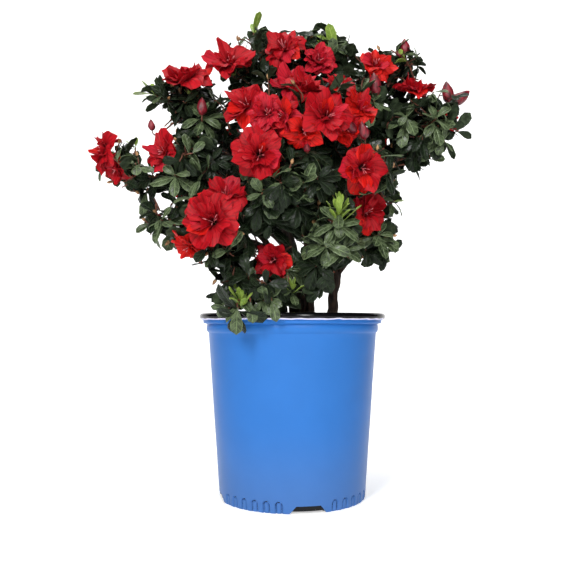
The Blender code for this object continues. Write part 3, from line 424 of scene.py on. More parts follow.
def potProfile():
    # (radius, height) rows up the inside, over the rolled rim, down the outside and in under the floor, and
    # the number of rows before the roll's outer side
    def wall(height):
        return pot["foot"] + pot["slope"] * height

    def rows(radius, *places):
        # each place is how far it is off that radius of the pot, and its height
        return [(pot[radius] + off, height) for off, height in places]

    turn = np.radians(np.linspace(158, -62, 15))
    roll = np.stack([pot["roll"][0] + pot["rollRadii"][0] * np.cos(turn),
                     pot["roll"][1] + pot["rollRadii"][1] * np.sin(turn)], 1)
    roll = roll[(roll[:, 0] > 0.1138) | (roll[:, 1] < 0.225)]
    collarFoot = pot["collarFoot"]
    inside = [(wall(0.003) - pot["wall"], pot["floor"]), (wall(0.19) - pot["wall"], 0.19),
              (wall(collarFoot) - pot["wall"], collarFoot - 0.0005)]
    inside += rows("collar", (-pot["wall"], collarFoot + 0.0012), (-pot["wall"], 0.2165))
    inside += rows("bore", (0, 0.2195), (0, 0.2265), (0.0006, 0.2289), (0.0022, 0.2303))
    top = [(0.1120, pot["height"]), (0.1130, pot["height"])]
    neck = rows("neck", (0.0008, 0.2222), (0, 0.2216), (0, 0.2188), (-0.0008, 0.2181))
    neck += rows("collar", (0.0008, 0.2176), (-0.0002, 0.2168), (0.0003, 0.2148), (0.0006, 0.2122),
                 (0.0003, 0.2098), (-0.0003, 0.2080), (-0.0014, 0.2071))
    neck += [(wall(0.2065) + 0.0003, 0.2065), (wall(0.2056), 0.2056)]
    heights = [*np.linspace(0.200, 0.018, 9), *np.arange(0.0160, 0.0092, -0.0008), 0.0091, 0.0088,
               0.0080, 0.0065, 0.0050, 0.0035, 0.0022]
    base = [(wall(height), height) for height in heights]
    base += [(wall(0.0012) - 0.0003, 0.0012), (wall(0.0) - 0.0009, 0.0004), (wall(0.0) - 0.0020, 0.0)]
    under = [(0.0893, 0.0), (0.070, 0.0)]
    return np.array(inside + top + roll[1:].tolist() + neck + base + under), len(inside) + 2


def makePot():
    # radius(height) from the profile, less a pocket at each notch and a round-topped hollow at each flute
    profile, outerFrom = potProfile()
    radius, height = profile[:, :1], profile[:, 1:]
    turn = around(pot["columns"])[None]
    pitch = 2 * np.pi / pot["notches"]
    fromNotch = (turn - pot["notchTurn"] + pitch / 2) % pitch - pitch / 2
    outer = (np.arange(len(profile)) >= outerFrom)[:, None]
    # columns near a notch's edge are drawn onto it, so that its corners are clean
    flare = (pot["notchFoot"] - pot["notchTop"]) * (1 - height / pot["notchHeight"])
    halfWidth = (pot["notchTop"] + flare) / 2
    edge = np.clip(halfWidth, pot["notchTop"] / 2, None) / radius
    edge = np.where(height > pot["notchHeight"] + 0.004, pot["notchTop"] / 2 / radius, edge)
    step = 2 * np.pi / pot["columns"]
    nominal = np.round(pot["notchTop"] / 2 / pot["foot"] / step) * step + step / 2
    stretch = np.where(np.abs(fromNotch) < nominal, edge / nominal, 1)
    outside = edge + (np.abs(fromNotch) - nominal) * (pitch / 2 - edge) / (pitch / 2 - nominal)
    warped = np.sign(fromNotch) * np.where(np.abs(fromNotch) < nominal, np.abs(fromNotch) * stretch, outside)
    placed = turn - fromNotch + warped
    inNotch = outer & (np.abs(fromNotch) < nominal) & (height < pot["notchHeight"])
    depth = np.where(inNotch, pot["notchDepth"], 0.0)
    for index in range(pot["flutes"]):
        off = warped - pot["fluteFrom"] - index * pot["flutePitch"]
        off = np.minimum(np.abs(off), np.abs(off + pitch)) * radius
        half = pot["fluteWidth"] / 2
        shoulder = pot["fluteHeight"] - half + np.sqrt(np.clip(half**2 - off**2, 0, None))
        inside = np.minimum(half - off, shoulder - height)
        groove = smooth(inside, -0.0002, 0.0006) * (1 - 0.75 * smooth(inside, 0.0014, 0.0024))
        near = outer * (off < half + 0.001)
        depth = depth + near * groove * pot["fluteDepth"] * (height < pot["footHeight"])
    shown = radius - np.where(height < pot["footHeight"], depth, 0)
    height = np.broadcast_to(height, placed.shape)
    points = np.stack([shown * np.sin(placed), -shown * np.cos(placed), height], -1)
    rows, columns = placed.shape
    quads = tubeFaces(rows, columns)[0][:, ::-1]
    poles = np.array([[0, 0, pot["floor"]], [0, 0, 0.0]])
    ring, after = np.arange(columns), (np.arange(columns) + 1) % columns
    total = rows * columns
    last = (rows - 1) * columns
    caps = [np.stack([ring, after, np.full(columns, total)], 1),
            np.stack([last + after, last + ring, np.full(columns, total + 1)], 1)]
    bare = (np.arange(rows) < outerFrom) | (profile[:, 1] > pot["printEnd"])
    dark = np.repeat(bare[:-1], columns) | inNotchFaces(inNotch)
    addPiece("pot_shell", np.vstack([points.reshape(-1, 3), poles]), [quads, *caps],
             [printedPlastic(), barePlastic()], kinds=[dark, 1, 1], nodes=("pot",), sharp=38)


def inNotchFaces(inNotch):
    # a face is in a notch where any of its four corners is
    corner = inNotch | np.roll(inNotch, -1, axis=1)
    return (corner[:-1] | corner[1:]).ravel()


makePot()


# Potting mix: an uneven top of peat inside the pot, strewn with chips of bark

mix = {"top": 0.2040, "rings": 44, "columns": 160, "lumps": 0.0016, "settled": 0.0010,
       "chips": 420, "chipSize": (0.003, 0.010), "chipThickness": 0.0018}


def makePottingMix():
    # radius grows evenly to the wall, and the height is the top plus two sizes of noise; below, a plain plug
    edge = pot["foot"] + pot["slope"] * mix["top"] - pot["wall"] - 0.0004
    ringRadius = np.concatenate([np.linspace(0.002, edge, mix["rings"]), [edge, 0.089, 0.070, 0.070, 0.002]])
    ringHeight = np.concatenate([np.full(mix["rings"], mix["top"]), [0.18, 0.014, 0.012, 0.0034, 0.0034]])
    turn = around(mix["columns"])
    radius, height = ringRadius[:, None], np.broadcast_to(ringHeight[:, None], (len(ringRadius), len(turn)))
    points = np.stack([radius * np.cos(turn), radius * np.sin(turn), height], -1)
    lumps = waves(points, 0.012, 3) * mix["lumps"] * 0.6 + waves(points, 0.005, 4) * mix["lumps"] * 0.4
    points[..., 2] += np.where(height > 0.2, lumps - mix["settled"], 0)
    faces = [f[:, ::-1] for f in tubeFaces(len(ringRadius), len(turn))]
    addPiece("potting_mix_top", points.reshape(-1, 3), faces, [grained["peatAndBarkFines"]],
             nodes=("potting_mix",), sharp=80)
    dice = np.random.default_rng(11)
    count = mix["chips"]
    away, turn = np.sqrt(dice.uniform(0, 1, count)) * (edge - 0.006), dice.uniform(0, 2 * np.pi, count)
    height = mix["top"] + dice.uniform(-0.0005, 0.0020, count)
    middle = np.stack([away * np.cos(turn), away * np.sin(turn), height], 1)
    length = dice.uniform(*mix["chipSize"], count)
    forward = unit(np.stack([np.cos(turn * 7), np.sin(turn * 7), dice.uniform(-0.3, 0.3, count)], 1))
    side = unit(np.cross(unit(up + dice.normal(0, 0.25, (count, 3))), forward))
    rows, columns = 4, 3
    along, over = gridOf(np.linspace(-0.5, 0.5, rows), np.linspace(-0.5, 0.5, columns))
    chip = (middle[:, None, None] + forward[:, None, None] * (along * length[:, None, None])[..., None]
            + side[:, None, None] * (over * (1 - 1.2 * along**2) * length[:, None, None] * 0.55)[..., None])
    chip = chip + dice.normal(0, 0.0004, chip.shape)
    addPiece("potting_mix_chips", thicken(chip, mix["chipThickness"]), sheetCopies(rows, columns, count),
             [grained["compostedPineBark"]], nodes=("potting_mix",), sharp=30)


makePottingMix()


# The plant's rule, as its solids were grown: stems, boughs, and masses that each keep to their own space

rule = {
    "heart": (0.0, 0.0, 0.360), "bloomHeart": (0.0, 0.04, 0.415), "clearance": 0.0003, "soil": 0.2043,
    "trunk": (0.0150, 0.0), "fork": 0.2320, "stemRing": 0.0093, "stemRadii": (0.0052, 0.0036),
    "stemRise": 0.008, "stemBend": 0.35, "sidePlace": (0.0500, -0.0050), "sideRadii": (0.0068, 0.0042),
    "stemSteps": 5, "boughRadii": (0.0032, 0.0022), "boughSteps": 4, "boughRise": 0.30, "boughSplay": 0.65,
    "leaderRise": 0.18, "boughJoint": 0.004, "boughEntry": 0.50, "overlap": 0.9,
    "backwardCost": 0.8, "returnCost": 0.3, "knots": (0.35, 0.7, 0.97), "shortest": 0.006,
    "bloomRadius": 0.029, "bloomDepth": 0.020, "bloomTries": 24, "bloomOut": 0.72,
    "bloomsApart": 1.75, "openBefore": 0.055, "limbMargin": 0.0018, "potMargin": 0.0018,
    "potInside": 0.1040}
heart, bloomHeart = np.array(rule["heart"]), np.array(rule["bloomHeart"])

# name: turn round the fork in degrees, and tip
stems = {"left": (180, (-0.060, -0.030, 0.350)), "front": (252, (-0.020, -0.075, 0.355)),
         "front_right": (324, (0.045, -0.050, 0.350)), "centre": (36, (0.005, 0.000, 0.420)),
         "back": (108, (-0.010, 0.064, 0.365)), "side": (None, (0.075, 0.000, 0.370))}


def mass(centre, reach, stem, along, blooms=(), buds=(), shoots=(), stars=(), extra=0, area="front"):
    # a mass of foliage: its centre, its reach in x, y and z, its stem, and how far up that its bough leaves.
    # A bloom or a bud is its place, where it faces, in degrees to the right of the front and upwards, and its
    # size. A shoot is its place alone. A star is an open rosette, and a young one is fresh growth that closes
    # up: its place, tone, number of leaves, where it faces, and size. extra is the most blooms that the rule
    # may add, and area is the piece that its leaves go into
    return {"centre": np.array(centre), "reach": np.array(reach), "stem": stem, "along": along,
            "blooms": blooms, "buds": buds, "shoots": shoots, "stars": stars, "extra": extra, "area": area}


masses = {
    "left_tip": mass(
        (-0.201, -0.04, 0.41), (0.042, 0.045, 0.038), "left", 0.8, area="left",
        blooms=((-0.23, -0.05, 0.427, -58, 14, 0.9), (-0.218, -0.052, 0.408, -45, -30, 0.7)),
        stars=((-0.196, -0.03, 0.438, "young", 4, 20, 70, 0.75),
               (-0.1864, -0.0773, 0.4077, "mid", 7, -20, 30, 0.95),
               (-0.2022, -0.0697, 0.3868, "old", 6, -40, -20, 0.9),
               (-0.1799, -0.0383, 0.3817, "old", 6, -10, -20, 1.0))),
    "left_lower": mass(
        (-0.152, -0.05, 0.341), (0.035, 0.04, 0.035), "left", 0.62, area="left",
        buds=((-0.16, -0.055, 0.342, -40, 50, 0.45),),
        stars=((-0.1544, -0.0857, 0.3396, "mid", 8, -25, 20, 0.95),
               (-0.1347, -0.0773, 0.3302, "old", 7, 0, 0, 0.95),
               (-0.1372, -0.0765, 0.3561, "old", 7, 0, 30, 0.9))),
    "left_front": mass(
        (-0.089, -0.12, 0.328), (0.045, 0.04, 0.052), "left", 0.45, area="left",
        blooms=((-0.079, -0.128, 0.354, 12, 42, 1.0), (-0.088, -0.142, 0.326, -12, 3, 1.22),
                (-0.116, -0.118, 0.306, -50, -55, 0.8))),
    "left_mid": mass(
        (-0.123, -0.06, 0.414), (0.048, 0.045, 0.038), "left", 1.0, area="left",
        blooms=((-0.156, -0.06, 0.423, -42, 14, 0.95),),
        stars=((-0.1379, -0.0873, 0.3916, "mid", 8, -10, 5, 1.05),
               (-0.1681, -0.062, 0.3943, "old", 8, -25, 0, 1.0),
               (-0.0936, -0.089, 0.4098, "old", 8, 0, 10, 0.95),
               (-0.1159, -0.0685, 0.3811, "old", 8, 0, -10, 1.0),
               (-0.0781, -0.0513, 0.394, "old", 7, 10, 0, 0.95))),
    "centre_front": mass(
        (-0.014, -0.13, 0.38), (0.055, 0.04, 0.042), "front", 0.76,
        blooms=((-0.038, -0.148, 0.402, 4, -4, 1.08),),
        buds=((0.015, -0.15, 0.405, 0, 30, 0.45),),
        stars=((0.0175, -0.1368, 0.4091, "old", 10, 0, -8, 1.05),
               (-0.0129, -0.164, 0.3679, "old", 10, 0, -8, 1.05),
               (0.0268, -0.1498, 0.3749, "old", 8, 10, -10, 1.0),
               (-0.0383, -0.1368, 0.3479, "old", 9, -5, -15, 1.0),
               (0.0054, -0.1385, 0.3465, "old", 8, 5, -20, 1.0),
               (-0.0233, -0.1242, 0.3309, "old", 8, 0, -25, 0.95))),
    "low_left": mass(
        (-0.054, -0.095, 0.262), (0.052, 0.04, 0.045), "front", 0.5,
        blooms=((-0.022, -0.09, 0.288, -10, -12, 0.8),),
        shoots=((-0.064, -0.132, 0.226), (-0.01, -0.07, 0.246), (-0.03, -0.09, 0.248),
                (-0.012, -0.095, 0.264), (-0.036, -0.06, 0.29), (-0.016, -0.06, 0.285),
                (-0.048, -0.07, 0.305)),
        stars=((-0.0591, -0.125, 0.244, "young", 10, -15, 55, 0.9),
               (-0.0008, -0.095, 0.258, "young", 7, 10, 50, 0.65),
               (-0.0811, -0.0988, 0.2954, "old", 7, -20, 10, 0.95),
               (-0.0496, -0.13, 0.2706, "old", 8, -10, 0, 1.0),
               (-0.0009, -0.0988, 0.3069, "old", 8, 10, 0, 1.0),
               (-0.0066, -0.096, 0.2795, "mid", 8, 10, -10, 1.0),
               (-0.0299, -0.1258, 0.262, "old", 8, 0, -15, 1.0),
               (-0.0787, -0.1255, 0.2642, "old", 7, -30, -10, 0.95))),
    "centre": mass(
        (0.009, -0.115, 0.465), (0.084, 0.045, 0.042), "front", 1.0,
        blooms=((-0.051, -0.12, 0.464, -20, 18, 1.0), (0.0, -0.112, 0.488, 5, 35, 1.0),
                (-0.006, -0.145, 0.445, -55, 10, 0.8), (0.037, -0.15, 0.443, 8, 12, 1.0),
                (0.077, -0.112, 0.463, 35, 25, 0.85), (-0.027, -0.135, 0.452, -15, 5, 0.8),
                (0.016, -0.125, 0.48, 20, 50, 0.85), (0.0575, -0.133, 0.437, 30, -5, 0.8),
                (0.013, -0.148, 0.43, -10, -15, 0.75)),
        buds=((0.0806, -0.13, 0.4228, -30, 60, 0.8), (0.07, -0.132, 0.43, -50, 35, 0.7))),
    "top_centre": mass(
        (0.025, 0.01, 0.571), (0.05, 0.045, 0.042), "centre", 1.0, area="top",
        blooms=((-0.008, -0.035, 0.563, -25, 30, 0.96), (0.034, -0.034, 0.549, 15, 20, 0.8)),
        shoots=((-0.0258, -0.01, 0.574), (-0.0245, -0.01, 0.541), (0.0636, 0.0, 0.575),
                (0.072, -0.005, 0.562)),
        stars=((0.054, -0.01, 0.574, "young", 6, -60, 52, 1.2),
               (0.0722, 0.0108, 0.5613, "old", 8, 10, 20, 0.95),
               (0.0573, -0.018, 0.5736, "old", 7, 10, 40, 0.9),
               (0.0175, -0.0032, 0.5359, "old", 7, 0, 10, 0.9))),
    "top_left": mass(
        (-0.057, 0.0, 0.563), (0.038, 0.044, 0.048), "centre", 0.66, area="top",
        blooms=((-0.078, -0.04, 0.538, -15, 38, 1.18),),
        stars=((-0.05, -0.005, 0.594, "young", 4, -30, 85, 1.0),
               (-0.0376, -0.0325, 0.5607, "old", 8, 0, 30, 0.9),
               (-0.0558, -0.0165, 0.5239, "old", 8, 0, 0, 0.9),
               (-0.0333, -0.0128, 0.5352, "old", 7, 0, 10, 0.9))),
    "back_top": mass((0.015, 0.085, 0.53), (0.072, 0.058, 0.054), "centre", 0.36, extra=4, area="back"),
    "heart": mass((0.0, -0.03, 0.416), (0.07, 0.05, 0.07), "centre", 0.5, area="inside"),
    "back_left": mass((-0.11, 0.11, 0.43), (0.064, 0.06, 0.074), "back", 0.66, extra=4, area="back"),
    "back_centre": mass((0.005, 0.135, 0.415), (0.062, 0.058, 0.074), "back", 1.0, extra=4, area="back"),
    "left_side": mass((-0.148, 0.045, 0.44), (0.042, 0.048, 0.046), "back", 0.46, extra=1, area="left"),
    "left_upper": mass(
        (-0.134, -0.02, 0.498), (0.052, 0.05, 0.05), "back", 0.82, area="left",
        blooms=((-0.132, -0.055, 0.509, -12, 62, 1.12),),
        buds=((-0.1085, -0.07, 0.4665, 0, 85, 0.85), (-0.1718, -0.05, 0.4532, -20, 75, 0.55)),
        shoots=((-0.122, -0.042, 0.464), (-0.0855, -0.05, 0.4827), (-0.076, -0.05, 0.456)),
        stars=((-0.1735, -0.03, 0.506, "young", 5, -85, 42, 1.0),
               (-0.1095, -0.064, 0.466, "mid", 10, 0, 10, 1.05),
               (-0.1321, -0.0633, 0.486, "old", 7, -20, 20, 0.9),
               (-0.1466, -0.047, 0.4641, "old", 7, -35, 10, 0.9),
               (-0.0841, -0.0095, 0.473, "old", 7, 20, 5, 0.9),
               (-0.0968, -0.0465, 0.4922, "old", 6, 10, 30, 0.9))),
    "right_mid": mass(
        (0.088, -0.09, 0.393), (0.042, 0.04, 0.04), "front_right", 1.0,
        blooms=((0.079, -0.126, 0.392, 5, -8, 1.0),),
        stars=((0.0498, -0.0948, 0.4224, "old", 8, 0, 10, 0.95),
               (0.0598, -0.0992, 0.3709, "old", 8, 0, -20, 0.95),
               (0.1085, -0.1198, 0.3874, "old", 7, 40, 10, 0.95),
               (0.1064, -0.1012, 0.3637, "old", 7, 40, -15, 0.9))),
    "front_shoot": mass(
        (0.041, -0.112, 0.322), (0.035, 0.038, 0.056), "front_right", 0.5,
        shoots=((0.02, -0.1, 0.272), (0.034, -0.1, 0.268), (0.014, -0.095, 0.29), (0.036, -0.085, 0.262)),
        stars=((0.0504, -0.138, 0.342, "young", 14, 0, 58, 1.0),
               (0.0476, -0.145, 0.3282, "mid", 9, 0, 15, 1.05),
               (0.0358, -0.1427, 0.3024, "mid", 9, -10, -5, 1.05),
               (0.0569, -0.1368, 0.2986, "mid", 9, 15, -5, 1.05),
               (0.0456, -0.124, 0.2754, "old", 9, 0, -15, 1.05),
               (0.0256, -0.1242, 0.2821, "old", 8, -15, -15, 1.0),
               (0.0633, -0.125, 0.2909, "old", 8, 20, -10, 1.0),
               (0.0329, -0.1102, 0.2582, "old", 8, -5, -25, 1.0))),
    "upper_right": mass(
        (0.078, -0.025, 0.505), (0.044, 0.042, 0.042), "front_right", 0.68, area="top",
        blooms=((0.06, -0.062, 0.504, 5, 45, 0.8),),
        buds=((0.103, -0.045, 0.4975, -60, 84, 1.15),),
        stars=((0.0996, -0.053, 0.4903, "mid", 8, 10, 15, 0.95),
               (0.1243, -0.0232, 0.4768, "old", 8, 10, 0, 0.95),
               (0.0717, -0.0547, 0.4825, "old", 6, 0, 20, 0.9))),
    "top_right": mass(
        (0.13, 0.01, 0.543), (0.05, 0.045, 0.042), "side", 1.0, area="top",
        blooms=((0.108, -0.022, 0.546, 15, 25, 0.85),),
        buds=((0.1475, 0.0, 0.565, -40, 82, 0.85), (0.142, 0.0, 0.563, -90, 50, 0.45)),
        shoots=((0.08, 0.0, 0.566),),
        stars=((0.1468, 0.0, 0.56, "young", 3, -80, 30, 0.75),
               (0.1514, -0.0252, 0.546, "old", 7, 15, 20, 0.9),
               (0.1607, -0.0155, 0.5293, "old", 7, 20, 0, 0.85),
               (0.16, -0.005, 0.56, "mid", 7, 75, 15, 0.75))),
    "right_tip": mass(
        (0.174, -0.01, 0.481), (0.048, 0.045, 0.06), "side", 0.7, area="top",
        blooms=((0.206, 0.008, 0.484, 70, 10, 0.7), (0.16, -0.01, 0.512, 10, 62, 0.95)),
        buds=((0.201, -0.008, 0.5, -60, 82, 1.1), (0.205, -0.008, 0.4985, 90, 38, 1.12)),
        shoots=((0.148, -0.028, 0.452), (0.17, -0.03, 0.476), (0.135, 0.0, 0.476), (0.143, 0.01, 0.452),
                (0.122, -0.02, 0.479), (0.118, -0.03, 0.462)),
        stars=((0.1421, -0.037, 0.4766, "mid", 9, 0, 20, 1.05),
               (0.1764, -0.0495, 0.4695, "mid", 8, 10, 15, 1.0),
               (0.135, -0.0018, 0.4598, "old", 8, -10, 0, 1.0),
               (0.1615, -0.038, 0.4457, "old", 9, 0, -10, 1.05),
               (0.1891, -0.0355, 0.4438, "mid", 8, 25, -15, 0.95),
               (0.1506, -0.0002, 0.4294, "old", 8, -5, -25, 1.0),
               (0.1767, -0.0105, 0.4272, "mid", 8, 10, -30, 1.0))),
    "back_right": mass((0.105, 0.11, 0.435), (0.06, 0.06, 0.07), "side", 0.52, extra=4, area="back"),
    "right_side": mass(
        (0.11, 0.03, 0.42), (0.041, 0.046, 0.048), "side", 0.86, area="top",
        blooms=((0.112, 0.07, 0.42, 165, 5, 0.9),),
        stars=((0.132, 0.0, 0.376, "young", 4, 50, 35, 0.6),
               (0.125, -0.005, 0.395, "old", 7, 30, -10, 0.85))),
    "right_lower": mass(
        (0.097, -0.04, 0.326), (0.032, 0.038, 0.04), "side", 0.42,
        blooms=((0.088, -0.076, 0.346, 25, 0, 0.95),),
        stars=((0.1031, -0.0733, 0.3236, "mid", 9, 20, 5, 1.0),
               (0.0874, -0.0655, 0.3055, "old", 8, 0, -15, 0.95),
               (0.1179, -0.0513, 0.3044, "old", 8, 35, -15, 0.95),
               (0.0823, -0.0685, 0.3337, "old", 7, 0, 10, 0.9)))}


def bend(start, control, end, steps):
    # quadratic curve: start(1 − t)² + control 2t(1 − t) + end t², for t from 0 to 1 in even steps
    t = np.linspace(0, 1, steps + 1)[:, None]
    return start * (1 - t) ** 2 + control * (2 * t * (1 - t)) + end * t**2


def thinning(count, steps):
    # how far a limb has thinned: not at its foot, a little at its knee, and evenly from there on
    return np.concatenate([[0], (1 + count * np.linspace(0, 1, steps + 1)) / (1 + count)])


def stemPath(name, steps=rule["stemSteps"]):
    # a stem stands upright on its foot and then bends towards its tip
    turn, tip = stems[name]
    if turn is None:
        foot, radii = np.array([*rule["sidePlace"], rule["soil"]]), rule["sideRadii"]
    else:
        ring = rule["stemRing"] * np.array([math.cos(math.radians(turn)), math.sin(math.radians(turn)), 0])
        foot, radii = np.array([*rule["trunk"], rule["fork"] + rule["clearance"]]) + ring, rule["stemRadii"]
    knee = foot + up * rule["stemRise"]
    rise = up * (rule["stemBend"] * (tip[2] - foot[2]))
    points = np.vstack([foot, bend(knee, knee + rise, np.array(tip), steps)])
    return points, radii[0] + (radii[1] - radii[0]) * thinning(rule["stemSteps"], steps)


def pathPoint(points, share):
    # the point at this share of a path's length, and the path's direction there
    lengths = np.linalg.norm(np.diff(points, axis=0), axis=1)
    ends = np.cumsum(lengths)
    index = min(int(np.searchsorted(ends, share * ends[-1] - 1e-9)), len(lengths) - 1)
    way = (points[index + 1] - points[index]) / lengths[index]
    return points[index] + way * (share * ends[-1] - ends[index] + lengths[index]), way


def boughPath(one, steps=rule["boughSteps"]):
    # a bough leaves its stem between the stem's direction and the straight way, or carries the stem on from
    # its tip, and ends where its mass begins
    stem, stemRadii = stemPath(one["stem"])
    start, direction = pathPoint(stem, one["along"])
    way = one["centre"] - start
    length = np.linalg.norm(way)
    end = one["centre"] - way / length * one["reach"].min() * rule["boughEntry"]
    first, last = rule["boughRadii"]
    if one["along"] < 1:
        leaving = unit(direction + (way / length - direction) * rule["boughSplay"])
        points = bend(start, start + leaving * (length * rule["boughRise"]), end, steps)
        return points, np.linspace(first, last, steps + 1)
    start = start + direction * rule["clearance"]
    knee = start + direction * rule["boughJoint"]
    points = np.vstack([start, bend(knee, knee + direction * (length * rule["leaderRise"]), end, steps)])
    return points, stemRadii[-1] + (last - stemRadii[-1]) * thinning(rule["boughSteps"], steps)


limbPaths = [stemPath(name) for name in stems] + [boughPath(one) for one in masses.values()]
limbFrom = np.vstack([points[:-1] for points, _ in limbPaths])
limbWay = np.vstack([np.diff(points, axis=0) for points, _ in limbPaths])
limbRadius = np.concatenate([radii[:-1] for _, radii in limbPaths])


def limbGap(points):
    # how far each point is from the skin of the nearest limb
    share = ((points[:, None] - limbFrom) * limbWay).sum(2) / (limbWay**2).sum(1)
    nearest = limbFrom + np.clip(share, 0, 1)[..., None] * limbWay
    return (np.linalg.norm(points[:, None] - nearest, axis=2) - limbRadius).min(1)


def clearOfPot(points):
    # true above the rim, outside it, or inside it above the potting mix
    margin, radius = rule["potMargin"], np.hypot(points[:, 0], points[:, 1])
    inside = (radius < rule["potInside"] - margin) & (points[:, 2] > mix["top"] + margin)
    return (points[:, 2] > pot["height"] + margin) | (radius > pot["rim"] + margin) | inside


def reachAlong(one, direction):
    # how far a mass's ellipsoid reaches in a direction: 1 / √Σ(d / r)²
    return 1 / np.sqrt(((direction / one["reach"]) ** 2).sum(-1))


def cellPlanes(name):
    # the planes that part this mass from its neighbours, each where their reaches divide the way between them
    one, places, normals = masses[name], [], []
    for other in masses.values():
        if other is one:
            continue
        way = other["centre"] - one["centre"]
        direction = unit(way)
        own, its = reachAlong(one, direction), reachAlong(other, direction)
        if own + its > np.linalg.norm(way) * rule["overlap"]:
            places.append(one["centre"] + way * (own / (own + its)))
            normals.append(direction)
    return np.array(places), np.array(normals)


cells = {name: cellPlanes(name) for name in masses}
massNodes = [f"mass_{name}" for name in masses]


def beyondCell(points, name):
    # how far each point is past the nearest plane of this mass's cell; negative inside
    places, normals = cells[name]
    return ((points[..., None, :] - places) * normals).sum(-1).max(-1)


def beyondReach(points, one):
    # the square of each point's share of the mass's reach
    return (((points - one["centre"]) / one["reach"]) ** 2).sum(-1)


def spread(count, phase):
    # directions on a spiral over the sphere: even steps of height, each a golden angle on from the last
    index = np.arange(count)
    height = 1 - (2 * index + 1) / count
    turn = phase + index * goldenAngle
    radius = np.sqrt(1 - height**2)
    return np.stack([radius * np.cos(turn), radius * np.sin(turn), height], 1)


def rotated(vector, axis, angle):
    # a vector at right angles to the axis, turned about it: v cos a + (axis × v) sin a
    return vector * np.cos(angle) + np.cross(axis, vector) * np.sin(angle)


def across(axis):
    # a unit vector at right angles to each axis
    axis = np.asarray(axis, float)
    other = np.where(np.abs(axis[..., 2:]) < 0.8, np.array([0, 0, 1.0]), np.array([1.0, 0, 0]))
    return unit(np.cross(other, axis))


def facing(turn, rise):
    # a direction from degrees to the right of the front and degrees up
    turn, rise = math.radians(turn), math.radians(rise)
    return np.array([math.sin(turn) * math.cos(rise), -math.cos(turn) * math.cos(rise), math.sin(rise)])


# Where the sky shows, past the crown's edge and through its gaps: rounds of it, as pixel place and radius
openSky = {
    "aboveTopLeft": ((228, 20, 22), (200, 48, 15), (247, 44, 5)),
    "aboveLeft": ((157, 62, 13), (176, 54, 10)),
    "besideLeft": ((161, 114, 8), (159, 129, 5), (146, 147, 9), (173, 128, 4), (167, 140, 5)),
    "aboveLeftTip": ((121, 129, 9), (113, 133, 4)),
    "underLeftTip": ((119, 200, 13), (104, 190, 9)),
    "overLowerLeft": ((162, 202, 6), (180, 225, 4)),
    "underLowerLeft": ((151, 254, 9), (168, 257, 8), (184, 256, 6), (162, 239, 4), (146, 238, 4),
                       (141, 221, 4)),
    "overRim": ((206, 284, 8), (217, 287, 4)),
    "underRightTip": ((410, 183, 12), (402, 191, 4)),
    "besideRight": ((409, 228, 8), (412, 245, 9), (459, 140, 6), (447, 164, 6), (433, 171, 4)),
    "underRight": ((352, 275, 12), (402, 262, 7), (389, 274, 6)),
    "besideSideStem": ((340, 277, 6), (340, 291, 7), (336, 305, 5)),
    "aboveTopRight": ((384, 33, 13), (416, 33, 9), (368, 41, 4), (349, 30, 6), (358, 41, 4)),
    "aboveRightTip": ((445, 76, 7), (438, 84, 3), (436, 83, 8), (457, 79, 8), (443, 97, 4), (424, 76, 5)),
    "aboveTop": ((306, 21, 9), (326, 13, 8)),
    "upperGaps": ((220, 84, 6), (264, 86, 4), (384, 73, 5), (417, 113, 3), (389, 145, 3), (386, 165, 3)),
    "lowerGaps": ((254, 238, 3), (272, 240, 5), (254, 256, 3), (297, 247, 3), (322, 307, 5))}
skyRounds = np.array([one for group in openSky.values() for one in group])


def beforeSky(points):
    # true where a point stands in one of the rounds of sky
    away = np.linalg.norm(pixelsOf(points)[:, None] - skyRounds[:, :2], axis=2)
    return (away < skyRounds[:, 2]).any(1)


def allBlooms():
    # those with a place of their own, and then those that the rule spreads over the hidden sides
    blooms = []
    for name, one in masses.items():
        for x, y, z, turn, rise, size in one["blooms"]:
            middle = np.array([x, y, z])
            blooms.append({"mass": name, "middle": middle, "solid": unit(middle - bloomHeart),
                           "axis": facing(turn, rise), "size": size})
    radius = rule["bloomRadius"]
    for name, one in masses.items():
        outward = unit(one["centre"] - heart)
        added = 0
        phase = random.Random(f"{name} blooms").uniform(0, 6.28)
        for direction in spread(rule["bloomTries"], phase):
            direction = unit(direction + outward * 0.9)
            middle = one["centre"] + direction * (reachAlong(one, direction) * rule["bloomOut"])
            axis = unit(middle - bloomHeart)
            rim = middle + rotated(across(axis), axis, np.array([[0.0], [1.57], [3.14], [4.71]])) * radius
            ring = middle + rotated(across(axis), axis, np.linspace(0, 6, 12)[:, None]) * radius
            apart = all(np.linalg.norm(middle - bloom["middle"]) > radius * rule["bloomsApart"]
                        for bloom in blooms)
            if (added < one["extra"] and apart and (beyondCell(rim, name) < -0.0006).all()
                    and not beforeSky(ring).any()):
                blooms.append({"mass": name, "middle": middle, "solid": axis, "axis": axis,
                               "size": random.Random(f"{name} {added}").uniform(0.85, 1.05)})
                added += 1
    for bloom in blooms:
        back = bloom["middle"] - bloom["solid"] * (rule["bloomDepth"] * 0.6)
        bloom["back"] = back - (bloom["axis"] - bloom["solid"]) * 0.006
    return blooms


blooms = allBlooms()
bloomBack = np.array([bloom["back"] for bloom in blooms])
bloomAxis = np.array([bloom["axis"] for bloom in blooms])
bloomSize = np.array([bloom["size"] for bloom in blooms])
print("blooms", len(blooms))


